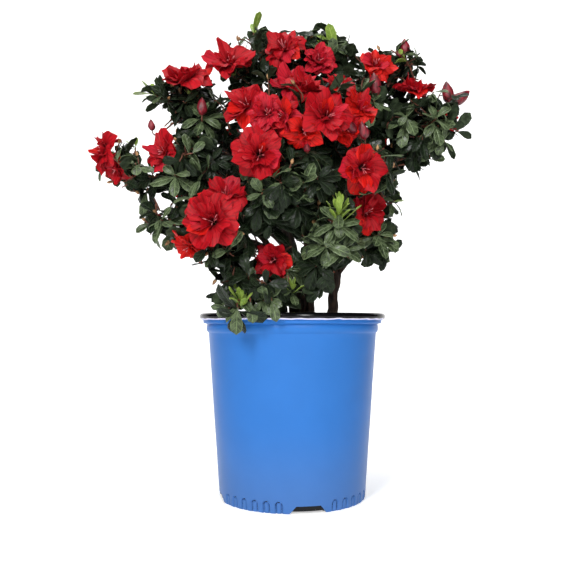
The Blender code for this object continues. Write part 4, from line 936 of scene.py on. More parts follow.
def inBlooms(points, own=None, room=0.0):
    # true where a point lies in the cone that a bloom fills, or close before it
    way = points[:, None] - bloomBack
    depth = (way * bloomAxis).sum(2)
    off = np.linalg.norm(way - depth[..., None] * bloomAxis, axis=2)
    share = np.clip((depth + 0.002) / rule["bloomDepth"], 0, 1)
    radius = bloomSize * rule["bloomRadius"]
    inside = (depth > -0.001) & (depth < rule["bloomDepth"] + 0.004) & (off < radius * share + room)
    inside |= (depth > 0) & (depth < rule["openBefore"]) & (off < radius * 0.8 * share)
    if own is not None:
        inside[:, own] = False
    return inside.any(1)


# Growth: twigs run from the nearest knot to spread tips, and each tip carries a whorl of leaves

growth = {
    "tipSpacing": 0.0165, "tipShares": (0.25, 0.88), "tries": 220, "leavesPerTip": 8, "midShare": 0.35,
    "leafBudShare": 0.3, "leafLength": (0.025, 0.036), "leafShape": 0.48, "leafSpacing": 0.0055,
    "leafStep": 0.0014, "slack": 1.45, "cellSlack": 0.004, "shootSlack": 2.8,
    "twigRadius": (0.0008, 0.0140), "bareRadii": (0.0023, 0.0015), "twigMargin": 0.0012, "reachBack": 0.012,
    "budLength": 0.026, "budRadius": 0.0066, "leafBudLength": (0.006, 0.010), "leafBudRadius": 0.0018,
    "spurStep": 0.010, "spurFrom": 0.300, "frontSpurFrom": 0.250, "spurLength": (0.014, 0.034),
    "spurLeaves": 6, "spurSlack": 2.1}

leaves = {key: [] for key in ("root", "way", "up", "length", "width", "tone", "area", "arch", "lit")}
twigs = {key: [] for key in ("start", "control", "end", "from", "to")}
budsGrown, areas = [], ("left", "front", "top", "back", "inside")
# leaf tones: shaded is painted shade, and old is both the tone of old leaves and painted half shade
shaded, old, mid, young = range(4)
tones = {"old": old, "mid": mid}


def addTwig(start, control, end, radii=None):
    # a twig thins from a foot that is thicker the longer it is
    tip, gain = growth["twigRadius"]
    radii = radii or (tip + gain * np.linalg.norm(end - start), tip)
    for key, value in zip(twigs, (start, control, end, *radii)):
        twigs[key].append(value)


def leaned(axis, outward):
    # a twig's tip turns a little outwards and up
    return unit(axis + outward * 0.25 + up * 0.15)


def whorl(end, axis, outward, count, tone, area, dice, inner=38, outer=84, size=1.0, lit=0):
    # leaves round a twig's end: each a golden angle on, a little lower, larger and more spread than the
    # last, from inner to outer degrees off the axis. Young leaves are narrow, the more so in a large whorl
    phase, rows = dice.uniform(0, 6.28), []
    axis = leaned(axis, outward)
    side = across(axis)
    shape = growth["leafShape"]
    slim = 1
    if tone == young:
        slim = 0.62 if count > 6 else 0.9
    for index in range(count):
        share = (index + 0.5) / count
        angle = math.radians(inner + (outer - inner) * share + dice.uniform(-9, 9))
        spoke = rotated(side, axis, phase + index * goldenAngle)
        way = unit(axis * math.cos(angle) + spoke * math.sin(angle) + outward * 0.12 - up * 0.05)
        sway = np.array([dice.gauss(0, 0.16) for _ in range(3)])
        upward = axis * 0.9 + up * 0.45 + outward * 0.25 + sway
        length = dice.uniform(*growth["leafLength"]) * (0.66 + 0.42 * share) * size
        width = length * shape * dice.uniform(0.82, 1.16) * slim
        arch = dice.uniform(0.1, 0.9) if tone != young else dice.uniform(-0.5, 0.5)
        root = end - axis * (growth["leafStep"] * index)
        rows.append((root, way, upward, length, width, tone, areas.index(area), arch, lit))
    return rows


# where a leaf is tried: share of its length, and of its half width to either side
leafSpots = ((0.45, 0.0), (0.55, 0.8), (0.55, -0.8), (0.75, 0.8), (0.75, -0.8), (0.8, 0.0), (1.0, 0.0))
leafMiddle = 5


def keepLeaves(rows, inside):
    # leaves stay that keep to their space, off limbs, pot and blooms, out of the gaps, and a little apart
    if not rows:
        return
    root, way, upward, length, width, tone = (np.array([row[i] for row in rows]) for i in range(6))
    side = unit(np.cross(upward, way))
    samples = np.stack([root + way * (length * along)[:, None] + side * (width * off / 2)[:, None]
                        for along, off in leafSpots], 1)
    flat = samples.reshape(-1, 3)
    good = inside(flat) & (limbGap(flat) > rule["limbMargin"]) & clearOfPot(flat)
    good &= ~inBlooms(flat, room=0.001) & ~beforeSky(flat)
    kept, middle = [], samples[:, leafMiddle]
    for index in np.flatnonzero(good.reshape(samples.shape[:2]).all(1)):
        gap = np.linalg.norm(middle[kept] - middle[index], axis=1).min() if kept else 1
        if gap > growth["leafSpacing"] * (0.4 if tone[index] == young else 1):
            kept.append(index)
    for key, column in zip(leaves, zip(*rows)):
        leaves[key] += [column[index] for index in kept]


def growMass(name):
    # a bare twig through the middle, and from it twigs to the blooms, stars, buds and shoots, and then to
    # as many spread tips as find room. A knot is its place, its direction and the way back to the bough
    one, dice = masses[name], random.Random(name)
    area, outward = one["area"], unit(one["centre"] - heart)
    knots, rows, starRows, youngRows, taken = [], [], [], [], []

    def twigWithKnots(start, control, end, behind, radii=None):
        addTwig(start, control, end, radii)
        path = bend(start, control, end, 10)
        for share in rule["knots"]:
            step = round(share * 10)
            back = behind + np.linalg.norm(end - start) * share
            knots.append((path[step], unit(path[step] - path[step - 1]), back))
        return unit(end - control)

    def growTo(target, own=None, arrive=None):
        # the twig that costs least: its length, more where it turns back, and a share of the way to the bough
        if beyondCell(target[None], name)[0] > 0:
            return None
        at, ways, behind = (np.array(part) for part in zip(*knots))
        way = target - at
        length = np.linalg.norm(way, axis=1)
        backward = np.clip(-(way * ways).sum(1) / np.maximum(length, 1e-9), 0, None)
        cost = length * (1 + rule["backwardCost"] * backward) + rule["returnCost"] * behind
        for index in np.argsort(cost)[:12]:
            if length[index] < rule["shortest"]:
                continue
            samples = at[index] + way[index] * np.array([0.3, 0.5, 0.7, 0.85, 1.0])[:, None]
            if (limbGap(samples).min() > growth["twigMargin"] and clearOfPot(samples).all()
                    and not inBlooms(samples, own).any() and beyondCell(samples, name).max() < 0):
                leave = unit(ways[index] + unit(way[index]) * 1.2)
                control = at[index] + leave * (length[index] * 0.5)
                if arrive is not None:
                    control = target - arrive * (length[index] * 0.45)
                return twigWithKnots(at[index], control, target, behind[index])
        return None

    def growAnyway(target, arrive=None):
        # where no twig finds room, one from the nearest knot
        near = min(knots, key=lambda knot: np.linalg.norm(knot[0] - target))[0]
        if arrive is None:
            return twigWithKnots(near, (near + target) / 2 - up * 0.004, target, 0.0)
        return twigWithKnots(near, target - arrive * growth["reachBack"], target, 0.0)

    path, _ = boughPath(one)
    way = unit(path[-1] - path[-2])
    start, end = path[-1] - way * 0.002, path[-1] + way * np.linalg.norm(one["centre"] - path[-1])
    twigWithKnots(start, (start + end) / 2, end, 0.0, growth["bareRadii"])
    for index, bloom in enumerate(blooms):
        if bloom["mass"] == name:
            axis, foot = bloom["axis"], bloom["back"] + bloom["axis"] * 0.001
            if growTo(foot, index, axis) is None:
                growAnyway(foot, axis)
            taken.append(bloom["middle"])
            rows += whorl(bloom["back"] - axis * 0.005, axis, outward, 6, old, area, dice, 70, 100)
    for x, y, z, tone, count, turn, rise, size in one["stars"]:
        place, axis = np.array([x, y, z]), facing(turn, rise)
        taken.append(place)
        if growTo(place, None, axis) is None:
            growAnyway(place, axis)
        if tone == "young":
            youngRows += whorl(place, axis, axis * 0, count, young, area, dice, 8, 60, size)
            starRows += whorl(place, axis, axis * 0, 6, mid, area, dice, 66, 98, 0.8, 1)
        else:
            starRows += whorl(place, axis, axis * 0, count, tones[tone], area, dice, 60, 98, size, 1)
    for x, y, z, turn, rise, size in one["buds"]:
        place, axis = np.array([x, y, z]), facing(turn, rise)
        taken.append(place)
        if growTo(place, None, axis) is None and growTo(place) is None:
            growAnyway(place, axis)
        budsGrown.append((place, axis, growth["budLength"] * size, growth["budRadius"] * size**0.8, 0))
        rows += whorl(place, axis, outward, 5, old, area, dice, 75, 105, 0.8)
    for place in map(np.array, one["shoots"]):
        taken.append(place)
        direction = growTo(place)
        if direction is None:
            direction = growAnyway(place)
        starRows += whorl(place, direction, outward, 8, old, area, dice, 62, 96)
    order = dice.sample(range(growth["tries"]), growth["tries"])
    for direction in spread(growth["tries"], dice.uniform(0, 6.28))[order]:
        place = one["centre"] + direction * (reachAlong(one, direction) * dice.uniform(*growth["tipShares"]))
        near = min((np.linalg.norm(place - other) for other in taken), default=1)
        if direction @ outward < -0.45 or near < growth["tipSpacing"] or beforeSky(place[None])[0]:
            continue
        axis = growTo(place)
        if axis is not None:
            tone = mid if dice.random() < growth["midShare"] else old
            rows += whorl(place, axis, outward, growth["leavesPerTip"], tone, area, dice)
            taken.append(place)
            if dice.random() < growth["leafBudShare"]:
                length = dice.uniform(*growth["leafBudLength"])
                budsGrown.append((place, leaned(axis, outward), length, growth["leafBudRadius"], 1))

    def inMass(flat):
        return (beyondReach(flat, one) < growth["slack"]) & (beyondCell(flat, name) < growth["cellSlack"])

    keepLeaves(youngRows + starRows, lambda flat: beyondReach(flat, one) < growth["shootSlack"])
    keepLeaves(rows, inMass)


def nearestReach(points):
    # the least of beyondReach over all the masses
    return np.min([beyondReach(points, one) for one in masses.values()], axis=0)


def growSpurs():
    # short side twigs with a few leaves, a golden angle apart up each limb, where the crown closes round it
    dice, rows = random.Random("spurs"), []
    for path, _ in limbPaths:
        length = np.linalg.norm(np.diff(path, axis=0), axis=1).sum()
        for index in range(int(length / growth["spurStep"])):
            start, way = pathPoint(path, (index + 0.5) * growth["spurStep"] / length)
            hidden = start[1] > 0.01 or start[0] > 0.035
            if start[2] < growth["spurFrom" if hidden else "frontSpurFrom"]:
                continue
            side = rotated(across(way), way, index * goldenAngle + dice.uniform(-0.4, 0.4))
            out = unit(side + way * 0.35 + unit(start - heart) * 0.4 + up * 0.2)
            end = start + out * dice.uniform(*growth["spurLength"])
            tip = end[None]
            if nearestReach(tip)[0] > growth["spurSlack"] or inBlooms(tip)[0] or beforeSky(tip)[0]:
                continue
            addTwig(start, start + (out + way * 0.4) * 0.008, end)
            rows += whorl(end, out, out, growth["spurLeaves"], old, "inside", dice)
    keepLeaves(rows, lambda flat: nearestReach(flat) < growth["spurSlack"])


# leaves with a place of their own: their mass, root, tip and width
placedLeaves = {
    "overRim": ("low_left", (-0.0610, -0.1330, 0.2360), (-0.0625, -0.1380, 0.2060), 0.0145),
    "besideRim": ("low_left", (-0.0470, -0.1290, 0.2420), (-0.0440, -0.1350, 0.2190), 0.0125),
    "nearRim": ("low_left", (-0.0240, -0.1180, 0.2440), (-0.0180, -0.1290, 0.2215), 0.0120),
    "hanging": ("left_lower", (-0.1776, -0.0500, 0.3797), (-0.1837, -0.0520, 0.3470), 0.0115),
    "pointing": ("left_lower", (-0.1720, -0.0500, 0.3400), (-0.1910, -0.0550, 0.3300), 0.0100),
    "round": ("left_lower", (-0.1430, -0.0550, 0.3310), (-0.1530, -0.0600, 0.3060), 0.0170)}


def growPlacedLeaves():
    # each hangs face forward from a twig of its mass
    for name, root, tip, width in placedLeaves.values():
        root, tip, centre = np.array(root), np.array(tip), masses[name]["centre"]
        way = unit(tip - root)
        area = areas.index(masses[name]["area"])
        row = (root, way, -np.cross([1.0, 0, 0], way), np.linalg.norm(tip - root), width, mid, area, 0.4, 1)
        for key, value in zip(leaves, row):
            leaves[key].append(value)
        addTwig(centre + (root - centre) * 0.4, root + np.array([0, 0.006, 0.010]), root)


# painted shade: spread directions, the steps out along each, what a lit leaf gains, and the shares below which a
# leaf is darkened
shade = {"ways": 16, "steps": (0.022, 0.044), "litGain": 0.25, "shadedBelow": 0.38, "halfShadedBelow": 0.5}


def shadeBuried():
    # of spread directions, the share that leave the crown at once: the fewer there are, the darker the leaf. This
    # is painted shade: such leaves take the shaded or the old tone, and star and placed leaves count as more lit
    root, tone = np.array(leaves["root"]), np.array(leaves["tone"])
    free = 0
    for direction in spread(shade["ways"], 0.0):
        inside = [nearestReach(root + direction * step) < 1 for step in shade["steps"]]
        free = free + ~(inside[0] & inside[1]) / shade["ways"]
    free = free + shade["litGain"] * np.array(leaves["lit"])
    darker = np.where(free < shade["shadedBelow"], shaded, np.where(free < shade["halfShadedBelow"], old, tone))
    leaves["tone"] = np.where(tone < young, darker, tone).tolist()


for name in masses:
    growMass(name)
growSpurs()
growPlacedLeaves()
shadeBuried()
print("twigs", len(twigs["start"]), "leaves", len(leaves["root"]), "buds", len(budsGrown))


# Leaves as arrays

blade = {"along": (0.0, 0.12, 0.36, 0.62, 0.86, 1.0), "columns": 5, "fullness": 1.75, "thickness": 0.00045,
         "fold": (0.12, 0.42), "curl": (0.05, 0.30), "wave": 0.16}


def leafGrid(root, way, upward, length, width, arch, dice):
    # s runs along a leaf, and its middle line bends down evenly by arch: x = sin(arch s) / arch and
    # z = (cos(arch s) − 1) / arch. The half width grows as s^0.75 and closes as (1 − s^2.6)^0.6. The blade
    # folds up with the distance from its middle, and its edges curl and wave
    along, over = gridOf(blade["along"], np.linspace(-1, 1, blade["columns"]))
    arch = np.where(np.abs(arch) < 0.05, 0.05, arch)[:, None, None]
    share = np.clip((along - 0.08) / 0.92, 0.0, 1)
    outline = blade["fullness"] * share**0.75 * (1 - share**2.6) ** 0.6
    half = np.maximum(outline, np.where(along > 0.9, 0.03, 0.07)) * width[:, None, None] / 2
    x, z = np.sin(arch * along) / arch, (np.cos(arch * along) - 1) / arch
    fold = dice.uniform(*blade["fold"], (len(root), 1, 1))
    curl = dice.uniform(*blade["curl"], (len(root), 1, 1))
    phase = dice.uniform(0, 6.28, (len(root), 1, 1))
    wave = blade["wave"] * over * np.abs(over) * np.sin(6 * along + phase)
    lift = half * (fold * np.abs(over) - curl * over**4 + wave)
    side = unit(np.cross(upward, way))
    top = np.cross(way, side)
    tangentX, tangentZ = np.cos(arch * along), -np.sin(arch * along)
    length = length[:, None, None]
    local = np.stack([x * length - tangentZ * lift, half * over, z * length + tangentX * lift], -1)
    return root[:, None, None] + np.einsum("nijk,nkl->nijl", local, np.stack([way, side, top], 1))


def makeLeaves():
    # one piece for each part of the crown. Leaves in painted shade and young leaves are alike on both sides
    dice = np.random.default_rng(21)
    grown = {key: np.array(value) for key, value in leaves.items()}
    rows, columns = len(blade["along"]), blade["columns"]
    for index, area in enumerate(areas):
        own = grown["area"] == index
        count = int(own.sum())
        grid = leafGrid(*(grown[key][own] for key in ("root", "way", "up", "length", "width", "arch")), dice)
        faces = sheetCopies(rows, columns, count)
        tone = grown["tone"][own].astype(int)
        beneath = np.where((tone == shaded) | (tone == young), tone, len(leafMaterials) - 1)
        kinds = [np.repeat(kind, len(f) // count) for kind, f in zip((tone, beneath, tone), faces)]
        addPiece(f"leaves_{area}", thicken(grid, blade["thickness"]), faces, leafMaterials, kinds=kinds,
                 uv=gridUv(count, rows, columns),
                 nodes=[f"mass_{name}" for name in masses if masses[name]["area"] == area])


makeLeaves()


# Twigs and limbs

def tube(points, radii, sides, normal):
    # rings round paths (copies, rings, 3): normal cos a + (tangent × normal) sin a, times the radius
    tangent = unit(np.gradient(points, axis=1))
    normal = unit(normal[:, None] - tangent * dot(tangent, normal[:, None]))
    turn = around(sides)[:, None]
    ring = normal[:, :, None] * np.cos(turn) + np.cross(tangent, normal)[:, :, None] * np.sin(turn)
    radii = radii[..., None] if radii.ndim == 2 else radii
    return points[:, :, None] + ring * radii[..., None]


twig = {"rings": 8, "sides": 6, "sway": 0.16, "swayTurns": (0.8, 1.6), "swell": 0.12}


def makeTwigs():
    # quadratic curves that sway a little between their ends, and thin towards the tip with a slight swell
    start, control, end = (np.array(twigs[key])[:, None] for key in ("start", "control", "end"))
    first, last = np.array(twigs["from"])[:, None], np.array(twigs["to"])[:, None]
    rings, sides = twig["rings"], twig["sides"]
    t = np.linspace(0, 1, rings)
    path = bend(start, control, end, rings - 1)
    length = np.linalg.norm(end - start, axis=2)
    normal = across(unit(end - start)[:, 0])
    dice = np.random.default_rng(5)
    turns = dice.uniform(*twig["swayTurns"], (len(start), 1))
    sway = np.sin(2 * np.pi * t * turns) * t * (1 - t) * length * twig["sway"]
    path = path + normal[:, None] * sway[..., None]
    swell = 1 + twig["swell"] * np.sin(9 * t + dice.uniform(0, 6.28, (len(start), 1)))
    radii = (first + (last - first) * t) * swell
    points = tube(path, radii, sides, normal)
    addPiece("twigs", points.reshape(-1, 3), tubeCopies(rings, sides, len(start)), [grained["youngTwigBark"]],
             nodes=massNodes, sharp=70)


makeTwigs()

bark = {"ringStep": 0.0018, "furrow": 0.16, "furrowWidth": 0.005, "scarEvery": 0.011, "scarSize": 0.0016,
        "scarHeight": 0.0005, "stemSides": 26, "boughSides": 14, "sideFoot": 0.2025, "sideFlare": 1.25,
        "footFlare": 1.15, "footSink": 0.012, "shootRadii": (0.0036, 0.0020), "drawnOut": 4,
        "plainEnds": 0.004}


def barkTube(points, radii, sides, seed, furrow):
    # a limb whose radius swells and sinks with noise drawn out along it, and round scars where leaves were
    lengths = np.concatenate([[0], np.cumsum(np.linalg.norm(np.diff(points, axis=0), axis=1))])
    rings = max(8, int(lengths[-1] / bark["ringStep"]))
    even = np.linspace(0, lengths[-1], rings)
    path = np.stack([np.interp(even, lengths, points[:, axis]) for axis in range(3)], 1)
    radius = np.interp(even, lengths, radii)
    normal = np.cross(points[1] - points[0], points[-1] - points[0])
    normal = across(unit(points[-1] - points[0])) if np.linalg.norm(normal) < 1e-8 else unit(normal)
    turn = around(sides)
    wrapped = np.stack([np.cos(turn) * radius[:, None], np.sin(turn) * radius[:, None],
                        np.broadcast_to(even[:, None] / bark["drawnOut"], (rings, sides))], -1)
    grooves = waves(wrapped, bark["furrowWidth"], seed) * furrow
    dice = np.random.default_rng(seed)
    scars = int(lengths[-1] * (1 / bark["scarEvery"]))
    place, angle = dice.uniform(0, lengths[-1], scars), dice.uniform(0, 2 * np.pi, scars)
    gap = np.abs((turn[:, None] - angle + np.pi) % (2 * np.pi) - np.pi)
    lengthwise = ((even[:, None, None] - place) / bark["scarSize"]) ** 2
    bumps = np.exp(-lengthwise - (gap * radius[:, None, None] / bark["scarSize"]) ** 2).sum(-1)
    ends = np.minimum(even, lengths[-1] - even)[:, None]
    fade = smooth(ends, 0, bark["plainEnds"])
    full = radius[:, None] * (1 + grooves * fade) + bumps * bark["scarHeight"] * fade
    return tube(path[None], full[None], sides, normal[None])[0], rings


def makeLimbs(name, paths, sides, furrow, nodes):
    # several limbs as one piece
    points, faces, count = [], [[], [], []], 0
    for seed, (path, radii) in enumerate(paths):
        shape, rings = barkTube(path, radii, sides, seed + 40, furrow)
        for found, new in zip(faces, tubeFaces(rings, sides)):
            found.append(new + count)
        points.append(shape.reshape(-1, 3))
        count += rings * sides
    addPiece(name, np.vstack(points), [np.vstack(part) for part in faces], [grained["furrowedBark"]],
             nodes=nodes, sharp=75)


def stemShown(name):
    # the stem's foot goes down into the trunk or the potting mix, and spreads a little there
    points, radii = stemPath(name, 24)
    if stems[name][0] is None:
        below, flare = np.array([points[0][0], points[0][1], bark["sideFoot"]]), bark["sideFlare"]
    else:
        below = points[0] * 0.6 + np.array([*rule["trunk"], rule["fork"]]) * 0.4 - up * bark["footSink"]
        flare = bark["footFlare"]
    return np.vstack([below, points]), np.concatenate([[radii[0] * flare], radii])


# Thin shoots that rise from the trunk's foot: foot, bend and tip
baseShoots = {
    "left": ((-0.0060, -0.0060, 0.2040), (-0.0090, -0.0100, 0.2500), (-0.0240, -0.0360, 0.3000)),
    "frontLeft": ((0.0010, -0.0120, 0.2040), (-0.0010, -0.0200, 0.2480), (-0.0060, -0.0500, 0.2960)),
    "front": ((0.0100, -0.0160, 0.2040), (0.0120, -0.0240, 0.2500), (0.0180, -0.0560, 0.2960))}


def baseShootPath(foot, control, end):
    points = bend(*(np.array(place) for place in (foot, control, end)), 16)
    return points, np.linspace(*bark["shootRadii"], len(points))


makeLimbs("stem_bark", [stemShown(name) for name in stems], bark["stemSides"], bark["furrow"],
          [f"stem_{name}" for name in stems])
makeLimbs("base_shoot_bark", [baseShootPath(*path) for path in baseShoots.values()], bark["boughSides"],
          bark["furrow"], ())
makeLimbs("bough_bark", [boughPath(one, 20) for one in masses.values()], bark["boughSides"],
          bark["furrow"] * 0.6, [f"bough_{name}" for name in masses])

trunk = {"foot": rule["soil"], "top": rule["fork"], "footRadius": 0.0185, "topRadius": 0.0152, "roots": 5,
         "rootTurn": 20, "rootReach": 0.0165, "rootHeight": 0.006, "lean": 0.0015, "rings": 40, "sides": 110,
         "grain": 0.05, "grainSize": 0.006, "drawnOut": 3, "capRings": 7, "cap": (0.0003, 0.0022),
         "closed": 0.05}


def makeTrunk():
    # the radius falls from foot to fork, and root ridges, cos^6 round the foot, die out upwards
    columns, cap, closed = trunk["sides"], trunk["capRings"], trunk["closed"]
    wall = trunk["rings"] - cap - 1
    height = np.concatenate([[0], np.linspace(0, 1, wall) ** 1.4, np.full(cap, 1.0)])[:, None]
    turn = around(columns)[None]
    ridge = np.abs(np.cos(trunk["roots"] / 2 * (turn - math.radians(trunk["rootTurn"])))) ** 6
    rise = (trunk["top"] - trunk["foot"]) * height
    radius = trunk["footRadius"] + (trunk["topRadius"] - trunk["footRadius"]) * height
    radius = radius + trunk["rootReach"] * ridge * np.exp(-rise / trunk["rootHeight"])
    drawn = np.broadcast_to(rise / trunk["drawnOut"], radius.shape)
    ring = np.stack([np.cos(turn) * radius, np.sin(turn) * radius, drawn], -1)
    radius = radius * (1 + trunk["grain"] * waves(ring, trunk["grainSize"], 77))
    close = np.concatenate([[closed], np.ones(wall), np.linspace(0.94, closed, cap)])[:, None]
    dome = np.concatenate([np.zeros(wall + 1), np.linspace(*trunk["cap"], cap)])[:, None]
    lean = trunk["lean"] * (height - 1)
    points = np.stack([rule["trunk"][0] + lean + np.cos(turn) * radius * close,
                       rule["trunk"][1] + np.sin(turn) * radius * close,
                       np.broadcast_to(trunk["foot"] + rise + dome, radius.shape)], -1)
    addPiece("trunk_bark", points.reshape(-1, 3), tubeFaces(trunk["rings"], columns),
             [grained["furrowedBark"]], nodes=("trunk",), sharp=80)


makeTrunk()


# Blooms: five broad outer petals, two rings of ruffled ones inside them, and a crumpled tuft in the throat

# rings of petals: how many, their length and width, how far they open in degrees, how they ruffle, and lift
whorls = [dict(zip(("petals", "length", "width", "open", "ruffle", "lift"), row)) for row in (
    (5, 0.0400, 0.0340, 92, 0.0036, 0.0), (5, 0.0370, 0.0310, 72, 0.0042, 0.0010),
    (5, 0.0325, 0.0250, 48, 0.0044, 0.0016), (5, 0.0220, 0.0150, 26, 0.0036, 0.0022))]
petal = {"rows": 8, "columns": 9, "throat": 0.0016, "leaves": math.radians(12), "curl": 0.0060, "dip": 0.0034,
         "thickness": 0.00045, "tones": (0, 0, 0, 1, 2), "otherTone": 0.25, "frontFrom": 0.15,
         "lengths": (0.90, 1.10), "widths": (0.85, 1.12), "openings": (-14, 14), "reflexes": (-50, 95),
         "dips": (-0.4, 1.5), "twists": (-0.12, 0.12), "tilts": (-0.32, 0.32), "spins": (-0.10, 0.10)}


def petalGrid(back, axis, first, turn, size, cup, shape, dice):
    # a petal runs out along a path whose angle from the axis grows from 12° to open, and then bends on at
    # the tip. Across it the angle round the axis is ± half the width over the radius. Its outline is round
    # with a blunt point, its middle sinks, it tilts and twists a little, each edge curls its own way, and
    # the rim waves
    count = len(back)
    along, over = gridOf(np.linspace(0, 1, petal["rows"]), np.linspace(-1, 1, petal["columns"]))

    def draw(low, high):
        return dice.uniform(low, high, (count, 1, 1))

    length = shape["length"] * size * draw(*petal["lengths"])
    width = shape["width"] * size * draw(*petal["widths"])
    opening = np.radians(shape["open"] * cup + draw(*petal["openings"]))
    reflex = np.radians(draw(*petal["reflexes"]))
    point = 0.11 * np.exp(-(over / 0.26) ** 2) * draw(0, 1)
    notched = 0.04 * np.sin(5.0 * over + draw(0, 6.28)) * np.abs(over)
    reach = 0.93 - 0.26 * np.abs(over) ** 2.4 + point + notched
    s = along * reach
    steps = 30  # of the path from 0 to 1, which is worked out to 1.1
    fine = np.linspace(0, 1.1, steps + 4)
    angle = petal["leaves"] + (opening - petal["leaves"]) * smooth(fine, 0.12, 0.62) + reflex * fine**3
    outward = petal["throat"] + length * np.cumsum(np.sin(angle), axis=2) / (steps + 1)
    forward = length * np.cumsum(np.cos(angle), axis=2) / (steps + 1)
    at = np.clip(s * steps, 0, steps + 2.99)
    low = at.astype(int)
    part = at - low
    rows = np.arange(count)[:, None, None]
    radius = outward[rows, 0, low] * (1 - part) + outward[rows, 0, low + 1] * part
    height = forward[rows, 0, low] * (1 - part) + forward[rows, 0, low + 1] * part
    half = width / 2 * (0.35 + 0.65 * np.sin(np.pi * np.clip(s, 0, 0.75) / 1.5))
    curl = np.where(over < 0, draw(-1, 1), draw(-1, 1)) * np.abs(over) ** 3 * s**2
    halfAngle = np.minimum(half * (1 - 0.22 * np.abs(curl)) / radius, 0.80)
    bearing = turn[:, None, None] + over * halfAngle + draw(*petal["twists"]) * s
    ruffle = shape["ruffle"] * size * s**2
    long, short = np.sin(3.4 * over + draw(0, 6.28)), np.sin(8.2 * over + 3 * s + draw(0, 6.28))
    height = height + ruffle * (long + 0.6 * short)
    sunk = petal["dip"] * (1 - over**2) * smooth(s, 0.2, 0.6) * draw(*petal["dips"])
    height = height + size * (petal["curl"] * curl - sunk)
    leaning = size * s * (0.0014 * over + 0.0018 * draw(-1, 1))
    height = height + leaning + over * half * draw(*petal["tilts"]) * s
    radius = radius + ruffle * 0.5 * np.sin(6.0 * over + draw(0, 6.28))
    second = np.cross(axis, first)[:, None, None]
    spoke = first[:, None, None] * np.cos(bearing)[..., None] + second * np.sin(bearing)[..., None]
    forwardWay = axis[:, None, None] * (height + shape["lift"])[..., None]
    return back[:, None, None] + forwardWay + spoke * radius[..., None]


def massesOf(shown):
    return sorted({f"mass_{bloom['mass']}" for bloom in shown})


def makeBlooms():
    # each bloom has one red, and a few petals of another. Blooms that face the front are one piece, and the
    # rest another
    dice = np.random.default_rng(31)
    first, count = across(bloomAxis), len(blooms)
    spin = dice.uniform(0, 2 * np.pi, count)
    bloomTone = dice.choice(petal["tones"], count)
    cup = dice.uniform(0.78, 1.04, (count, 1, 1))
    grids, tones, owner = [], [], []
    for level, shape in enumerate(whorls):
        for index in range(shape["petals"]):
            turn = spin + 2 * np.pi * (index + 0.5 * (level % 2) + 0.25 * (level // 2)) / shape["petals"]
            turn = turn + dice.uniform(*petal["spins"], count)
            size = bloomSize[:, None, None]
            grids.append(petalGrid(bloomBack, bloomAxis, first, turn, size, cup, shape, dice))
            other = dice.uniform(0, 1, count) < petal["otherTone"]
            tones.append(np.where(other, dice.integers(0, 3, count), bloomTone))
            owner.append(np.arange(count))
    grids, tones, owner = np.concatenate(grids), np.concatenate(tones), np.concatenate(owner)
    front = -bloomAxis[:, 1] > petal["frontFrom"]
    for side, wanted in (("front", front), ("back", ~front)):
        own = wanted[owner]
        count = int(own.sum())
        faces = sheetCopies(petal["rows"], petal["columns"], count)
        kinds = [np.repeat(tones[own], len(f) // count) for f in faces]
        addPiece(f"petals_{side}", thicken(grids[own], petal["thickness"]), faces, petalMaterials,
                 kinds=kinds, uv=gridUv(count, petal["rows"], petal["columns"]),
                 nodes=massesOf(blooms[i] for i in np.flatnonzero(wanted)), sharp=60)


makeBlooms()

stamens = {"perBloom": 5, "length": 0.021, "radius": 0.00030, "anther": 0.0007, "rings": 9, "sides": 5,
           "foot": 0.003, "lengths": (0.7, 1.05), "bend": 0.6, "splay": (0.12, 0.42), "antherFrom": 0.86}


def makeStamens():
    # threads that curve out of the throat; each thins, and ends in a small anther
    dice = np.random.default_rng(61)
    count, rings, sides = len(blooms) * stamens["perBloom"], stamens["rings"], stamens["sides"]
    owner = np.repeat(np.arange(len(blooms)), stamens["perBloom"])
    axis, size = bloomAxis[owner], bloomSize[owner][:, None]
    spoke = rotated(across(axis), axis, dice.uniform(0, 6.28, (count, 1)))
    start = bloomBack[owner] + axis * stamens["foot"]
    length = stamens["length"] * size * dice.uniform(*stamens["lengths"], (count, 1))
    control = start + axis * length * stamens["bend"]
    end = start + axis * length + spoke * length * dice.uniform(*stamens["splay"], (count, 1))
    t = np.linspace(0, 1, rings)[None, :, None]
    path = start[:, None] * (1 - t) ** 2 + control[:, None] * 2 * t * (1 - t) + end[:, None] * t**2
    radii = np.where(t[0, :, 0] > stamens["antherFrom"], stamens["anther"], stamens["radius"])
    radii[-1] *= 0.5
    points = tube(path, np.broadcast_to(radii, (count, rings)), sides, spoke)
    addPiece("stamens", points.reshape(-1, 3), tubeCopies(rings, sides, count), [grained["stamenThreads"]],
             nodes=massesOf(blooms), sharp=80)


makeStamens()

sepal = {"lobes": 5, "length": (0.006, 0.010), "halfWidth": 0.0019, "thickness": 0.0004,
         "rows": 4, "columns": 3, "throat": 0.0012, "sunk": 0.001, "out": 0.55, "forward": 0.8, "tip": 0.0002}


